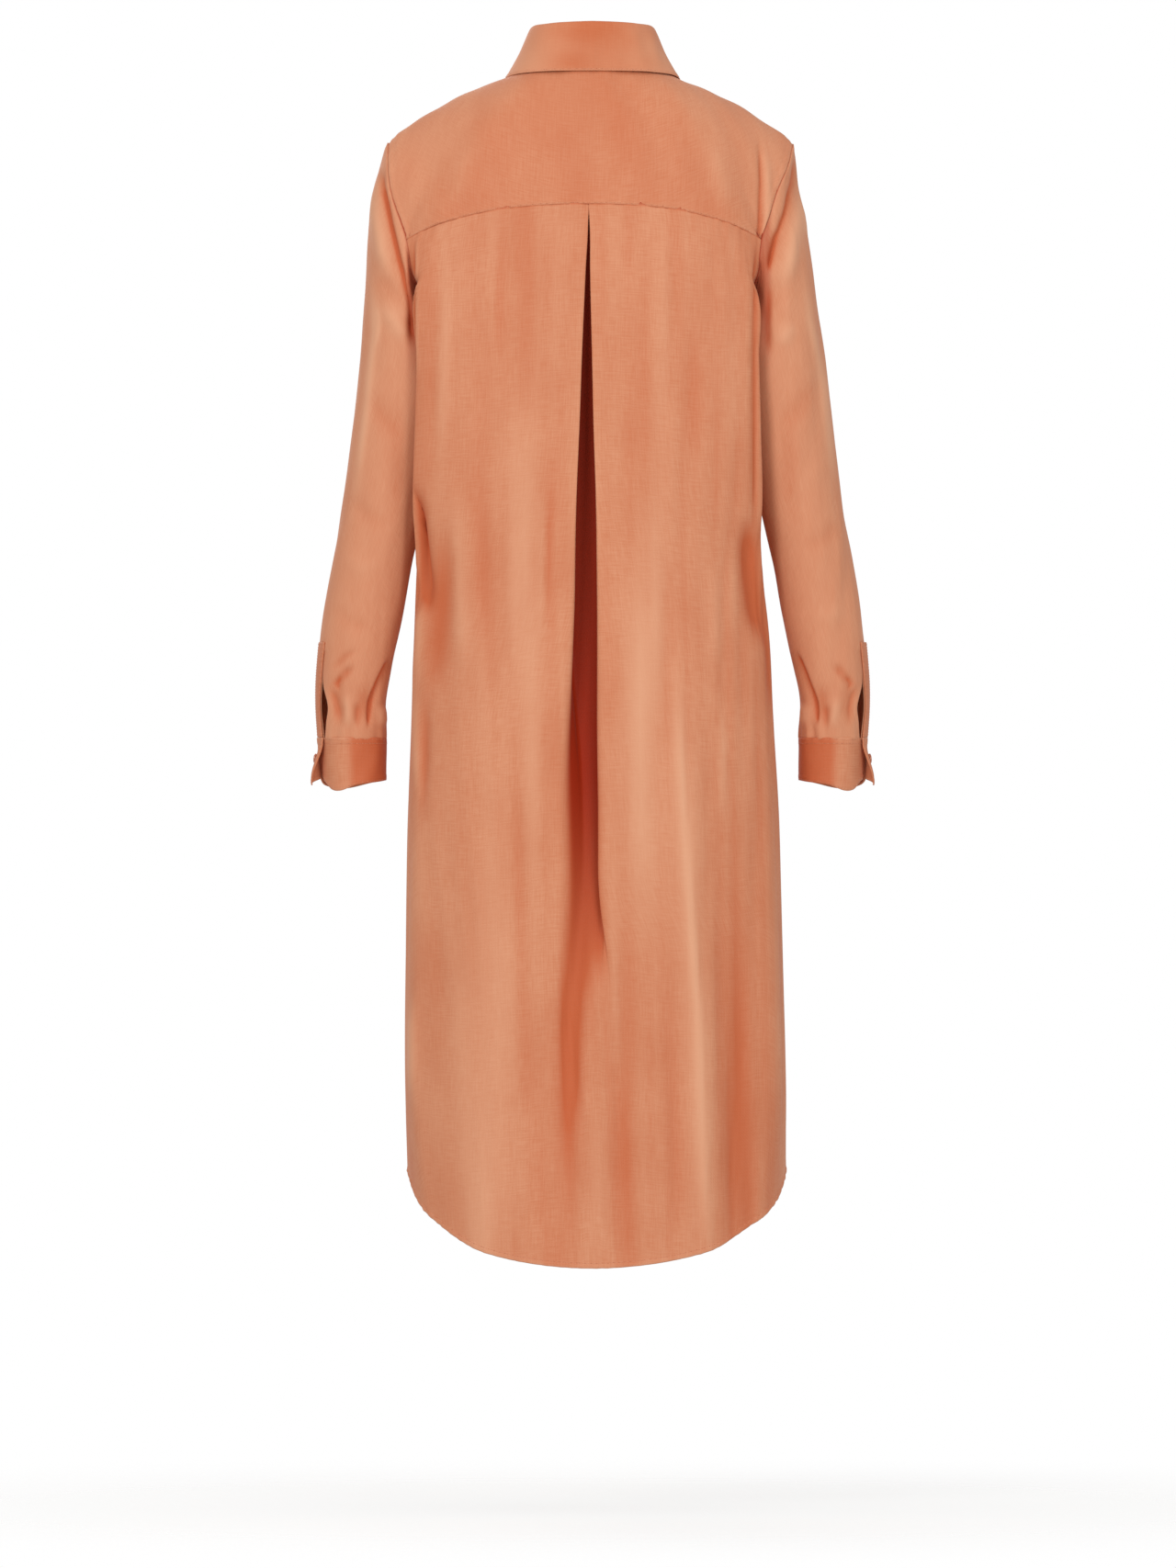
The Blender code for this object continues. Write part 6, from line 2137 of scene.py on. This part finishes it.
@dataclass
class Buttons:
    """The dyed buttons, four-holed and sewn on with crossed thread, and their buttonholes."""

    fronts: Fronts
    collar: Collar
    sleeves: tuple[Sleeve, Sleeve]
    radius: float = 5.5
    thick: float = 2.4
    rim: float = 1.3
    dish: float = 0.7
    hole_radius: float = 0.75
    hole_apart: float = 1.25
    gap: float = 0.4
    first_level: float = 95
    spacing: float = 86
    count: int = 10
    # The thread stands up from the button's face and dips into its holes
    bar_lift: float = 0.45
    bar_dip: float = 1.3
    buttonhole_length: float = 15
    buttonhole_wide: float = 2.4
    slit_half: float = 0.25
    satin_pitch: float = 0.55

    def profile(self) -> list[Spot]:
        """The turned outline from the middle of the face round to the middle of the back."""
        half = self.thick / 2
        inner = self.radius - self.rim
        return [
            (0.0, half - self.dish),
            (inner * 0.75, half - self.dish),
            (inner, half - self.dish * 0.7),
            (inner + self.rim * 0.3, half - self.dish * 0.15),
            (inner + self.rim * 0.55, half),
            (self.radius - 0.35, half - 0.12),
            (self.radius, half - 0.6),
            (self.radius - 0.15, -half + 0.5),
            (self.radius - 0.7, -half),
            (0.0, -half),
        ]

    def mesh(self, material: bpy.types.Material) -> bpy.types.Mesh:
        """Turns the outline and drills the holes."""
        sides, drill_sides = 40, 14
        body = bmesh.new()
        rings = []
        for radius, height in self.profile():
            turns = 2 * np.pi * np.arange(sides) / sides if radius else (0,)
            ring = [Vector((radius * math.cos(t), radius * math.sin(t), height)) * METRES_PER_MM for t in turns]
            rings.append([body.verts.new(place) for place in ring])
        for upper, lower in zip(rings[:-1], rings[1:]):
            for index in range(sides):
                other = (index + 1) % sides
                if len(upper) == 1:
                    body.faces.new((upper[0], lower[index], lower[other]))
                elif len(lower) == 1:
                    body.faces.new((upper[other], upper[index], lower[0]))
                else:
                    body.faces.new((upper[other], upper[index], lower[index], lower[other]))
        turned = bpy.data.meshes.new("button_blank")
        bmesh.ops.recalc_face_normals(body, faces=body.faces)
        body.to_mesh(turned)
        body.free()
        drills = bmesh.new()
        for turn in range(4):
            angle = math.pi / 4 + turn * math.pi / 2
            centre = Vector((math.cos(angle), math.sin(angle), 0)) * self.hole_apart * math.sqrt(2) * METRES_PER_MM
            made = bmesh.ops.create_cone(
                drills,
                cap_ends=True,
                segments=drill_sides,
                radius1=self.hole_radius * METRES_PER_MM,
                radius2=self.hole_radius * METRES_PER_MM,
                depth=self.thick * 2 * METRES_PER_MM,
            )
            bmesh.ops.translate(drills, verts=made["verts"], vec=centre)
        drill_mesh = bpy.data.meshes.new("button_drill")
        drills.to_mesh(drill_mesh)
        drills.free()
        blank, drill = show("button_blank", turned), show("button_drill", drill_mesh)
        cut = blank.modifiers.new("holes", "BOOLEAN")
        cut.operation = "DIFFERENCE"
        cut.object = drill
        drilled = bpy.data.meshes.new_from_object(blank.evaluated_get(bpy.context.evaluated_depsgraph_get()))
        for thing in (blank, drill):
            bpy.data.objects.remove(thing, do_unlink=True)
        drilled.name = "button"
        drilled.shade_smooth()
        drilled.set_sharp_from_angle(angle=math.radians(40))
        drilled.materials.clear()
        drilled.materials.append(material)
        return drilled

    def front_places(self) -> list[Spots]:
        """The front's buttons, on the middle of the band."""
        found = []
        for level in self.first_level + self.spacing * np.arange(self.count):
            rows = np.array((FRONT_KNOTS[0], level - 4, level, level + 4))
            strip = self.fronts.band_sheet(rows, np.array((0.4, 0.5, 0.6))).points
            down = strip[3, 1] - strip[1, 1]
            normal = surface_normal(down, strip[2, 2] - strip[2, 0])
            found.append(Spots(strip[2, 1], -normal if normal[1] > 0 else normal, self.fronts.band_wall, down))
        return found

    def cuff_place(self, sleeve: Sleeve) -> Spots:
        """A cuff's button, on its over-lapping end."""
        lap = np.degrees(sleeve.cuff_lap / sleeve.slit_radius)
        column = 1 - (lap * 0.6) / (360 + lap)
        patch = sleeve.cuff_points(np.array((column - 0.01, column, column + 0.01)), np.array((0.4, 0.5, 0.6)))
        normal = surface_normal(patch[2, 1] - patch[0, 1], patch[1, 2] - patch[1, 0])
        outward = normal if normal[0] * sleeve.side.value > 0 else -normal
        return Spots(patch[1, 1], outward, sleeve.cuff_wall, patch[1, 2] - patch[1, 0])

    def places(self) -> list[Spots]:
        """All the buttons in the order of their names."""
        stand = self.collar.stand_points(np.array((-180.0,)), (0.5,))[0, 0]
        first = Spots(stand, np.array((0.0, -1.0, 0.05)), self.collar.wall, np.array((1.0, 0.0, 0.0)))
        return [first, *self.front_places(), *(self.cuff_place(sleeve) for sleeve in self.sleeves)]

    def crossed_thread(self, name: str, centre: Points, way: Points, along: Points, thread: Any) -> bpy.types.Object:
        """The two crossed bars of thread through a button's holes.

        Args:
            name: the piece's name.
            centre: the middle of the button's face.
            way: the way out.
            along: one of its directions.
            thread: the thread's finish.

        Returns:
            The bars.
        """
        over = np.cross(way, along)
        over /= np.linalg.norm(over)
        along = np.cross(over, way)
        runs = []
        share = np.linspace(0, 1, 7)[:, None]
        for pair in (((1, 1), (-1, -1)), ((1, -1), (-1, 1))):
            ends = [centre + along * u * self.hole_apart + over * v * self.hole_apart for u, v in pair]
            line = ends[0] * (1 - share) + ends[1] * share
            line = line + way * (self.bar_lift - self.bar_dip * np.abs(share * 2 - 1) ** 6)
            runs.append((line, np.tile(way, (7, 1))))
        even = tuple((place, 1.0) for place in share[:, 0])
        return Stitching(radius=0.42, sink=0.0, sides=6, stations=even).whole(name, runs, thread)

    def buttonhole(self, name: str, spot: Spots, thread: Any) -> bpy.types.Object:
        """The satin-stitched edge of a buttonhole, round its slit.

        Args:
            name: the piece's name.
            spot: where the button is.
            thread: the thread's finish.

        Returns:
            The stitches.
        """
        along = spot.hole / np.linalg.norm(spot.hole)
        over = np.cross(spot.way, along)
        over /= np.linalg.norm(over)
        base = spot.place + spot.way * (spot.wall / 2 - 0.05)
        half_long, half_wide = self.buttonhole_length / 2, self.buttonhole_wide / 2
        runs = []
        for place in np.arange(-half_long, half_long + 0.01, self.satin_pitch):
            for sign in (-1, 1):
                inner = base + along * place + over * sign * self.slit_half
                outer = base + along * place + over * sign * half_wide
                runs.append((np.linspace(inner, outer, 3), np.tile(spot.way, (3, 1))))
        # A bar across each end
        for end in (-half_long - 0.3, half_long + 0.3):
            inner = base + along * end - over * half_wide
            outer = base + along * end + over * half_wide
            runs.append((np.linspace(inner, outer, 3), np.tile(spot.way, (3, 1))))
        satin = Stitching(radius=0.3, sink=0.0, sides=4, stations=((0, 0.7), (0.5, 1), (1, 0.7)))
        return satin.whole(name, runs, thread)

    def build(self, finishes: Finishes) -> None:
        """Makes every button with its thread and buttonhole."""
        shared = self.mesh(finishes.resin)
        for index, spot in enumerate(self.places(), start=1):
            lift = spot.wall / 2 + self.gap + self.thick / 2
            centre = spot.place + spot.way * lift
            button = show(f"button_{index:02d}_resin", shared)
            turn = Vector(spot.way).to_track_quat("Z", "Y").to_matrix().to_4x4()
            button.matrix_world = Matrix.Translation(Vector(centre * METRES_PER_MM)) @ turn
            place_piece(button, [f"button_{index:02d}"])
            face = centre + spot.way * (self.thick / 2 - self.dish)
            bars = self.crossed_thread(f"button_{index:02d}_thread", face, spot.way, spot.hole, finishes.thread)
            place_piece(bars)
            place_piece(self.buttonhole(f"buttonhole_{index:02d}", spot, finishes.thread))


# --------------------------------------------------------------------------- studio


@dataclass(frozen=True)
class SoftBox:
    """A large soft light that looks at the dress."""

    name: str
    place: Place
    width: float
    height: float
    power: float
    tint: str = "#FFFFFF"


@dataclass
class Studio:
    """A pale floor, soft light and the camera behind the dress."""

    floor_z: float = -1.518
    floor_radius: float = 1.6
    # One of the photograph's 1707 rows covers 0.97 mm of the dress at this distance
    mm_per_row: float = 0.97
    rows: int = 1707
    camera_x: float = 4.85
    camera_z: float = -750.3
    # Far off, so that nearer and farther parts keep nearly the same scale
    camera_y: float = 16000
    measured_y: float = 45
    sensor: float = 36
    room_light: float = 0.57
    lights: tuple[SoftBox, ...] = (
        SoftBox("key_light", (1.7, 3.4, 0.9), 1.3, 1.8, 54),
        SoftBox("fill_light", (-1.7, 3.4, 0.0), 1.6, 2.0, 36),
        SoftBox("front_light", (0.8, -3.6, 0.8), 2.2, 2.2, 42),
        SoftBox("top_light", (0.0, 0.6, 2.6), 2.4, 2.4, 10),
    )
    aim: Place = (0.0, 0.0, -0.7)

    def build(self) -> None:
        """Makes the floor, the room's light, the lights and the camera."""
        self.make_floor()
        self.make_room()
        for light in self.lights:
            self.make_light(light)
        self.make_camera()

    def make_floor(self) -> None:
        """A disc of floor that fades into the room."""
        disc = bmesh.new()
        bmesh.ops.create_circle(disc, cap_ends=True, segments=96, radius=self.floor_radius)
        mesh = bpy.data.meshes.new("floor")
        disc.to_mesh(mesh)
        disc.free()
        mesh.materials.append(PaintedFloor().build())
        floor = show("floor", mesh)
        floor.location = (0, 0, self.floor_z)

    def make_room(self) -> None:
        """A white room, which lights the dress less than it shows."""
        world = bpy.data.worlds.new("white_room")
        bpy.context.scene.world = world
        world.use_nodes = True
        tree = world.node_tree
        tree.nodes.clear()
        seen = add_node(tree, "ShaderNodeLightPath").outputs["Is Camera Ray"]
        strength = add_node(tree, "ShaderNodeMapRange", {0: seen, 3: self.room_light, 4: 1.0}).outputs[0]
        room = add_node(tree, "ShaderNodeBackground", {"Color": (1, 1, 1, 1), "Strength": strength})
        add_node(tree, "ShaderNodeOutputWorld", {"Surface": room.outputs[0]})

    def make_light(self, light: SoftBox) -> None:
        """A rectangular soft light aimed at the dress."""
        data = bpy.data.lights.new(light.name, "AREA")
        data.shape = "RECTANGLE"
        data.size = light.width
        data.size_y = light.height
        data.energy = light.power
        data.color = linear(light.tint)[:3]
        lamp = show(light.name, data)
        lamp.location = light.place
        lamp.rotation_euler = (Vector(self.aim) - Vector(light.place)).to_track_quat("-Z", "Y").to_euler()

    def make_camera(self) -> None:
        """The camera, level and square to the dress's back."""
        data = bpy.data.cameras.new("camera")
        data.sensor_width = self.sensor
        distance = self.camera_y - self.measured_y
        data.lens = self.sensor * distance / (self.mm_per_row * self.rows)
        data.clip_start, data.clip_end = 0.1, 100
        camera = show("camera", data)
        camera.location = Vector((self.camera_x, self.camera_y, self.camera_z)) * METRES_PER_MM
        camera.rotation_euler = (math.pi / 2, 0, math.pi)
        bpy.context.scene.camera = camera


def main() -> None:
    """Builds the dress, piece by piece, and the studio round it."""
    logging.basicConfig(level=logging.INFO, format="%(name)s %(message)s")
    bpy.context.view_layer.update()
    bpy.context.scene.view_settings.view_transform = "Standard"
    finishes = Finishes()
    collar = Collar()
    collar.build(finishes)
    BackYoke().build(finishes)
    BackPanel().build(finishes)
    fronts = Fronts()
    fronts.build(finishes)
    sleeves = (
        Sleeve(Side.LEFT, LEFT_SLEEVE_CREASES, seed=81),
        Sleeve(Side.RIGHT, RIGHT_SLEEVE_CREASES, seed=91),
    )
    for sleeve in sleeves:
        sleeve.build(finishes)
    Buttons(fronts, collar, sleeves).build(finishes)
    Studio().build()
    bpy.context.view_layer.update()


if __name__ == "__main__":
    main()
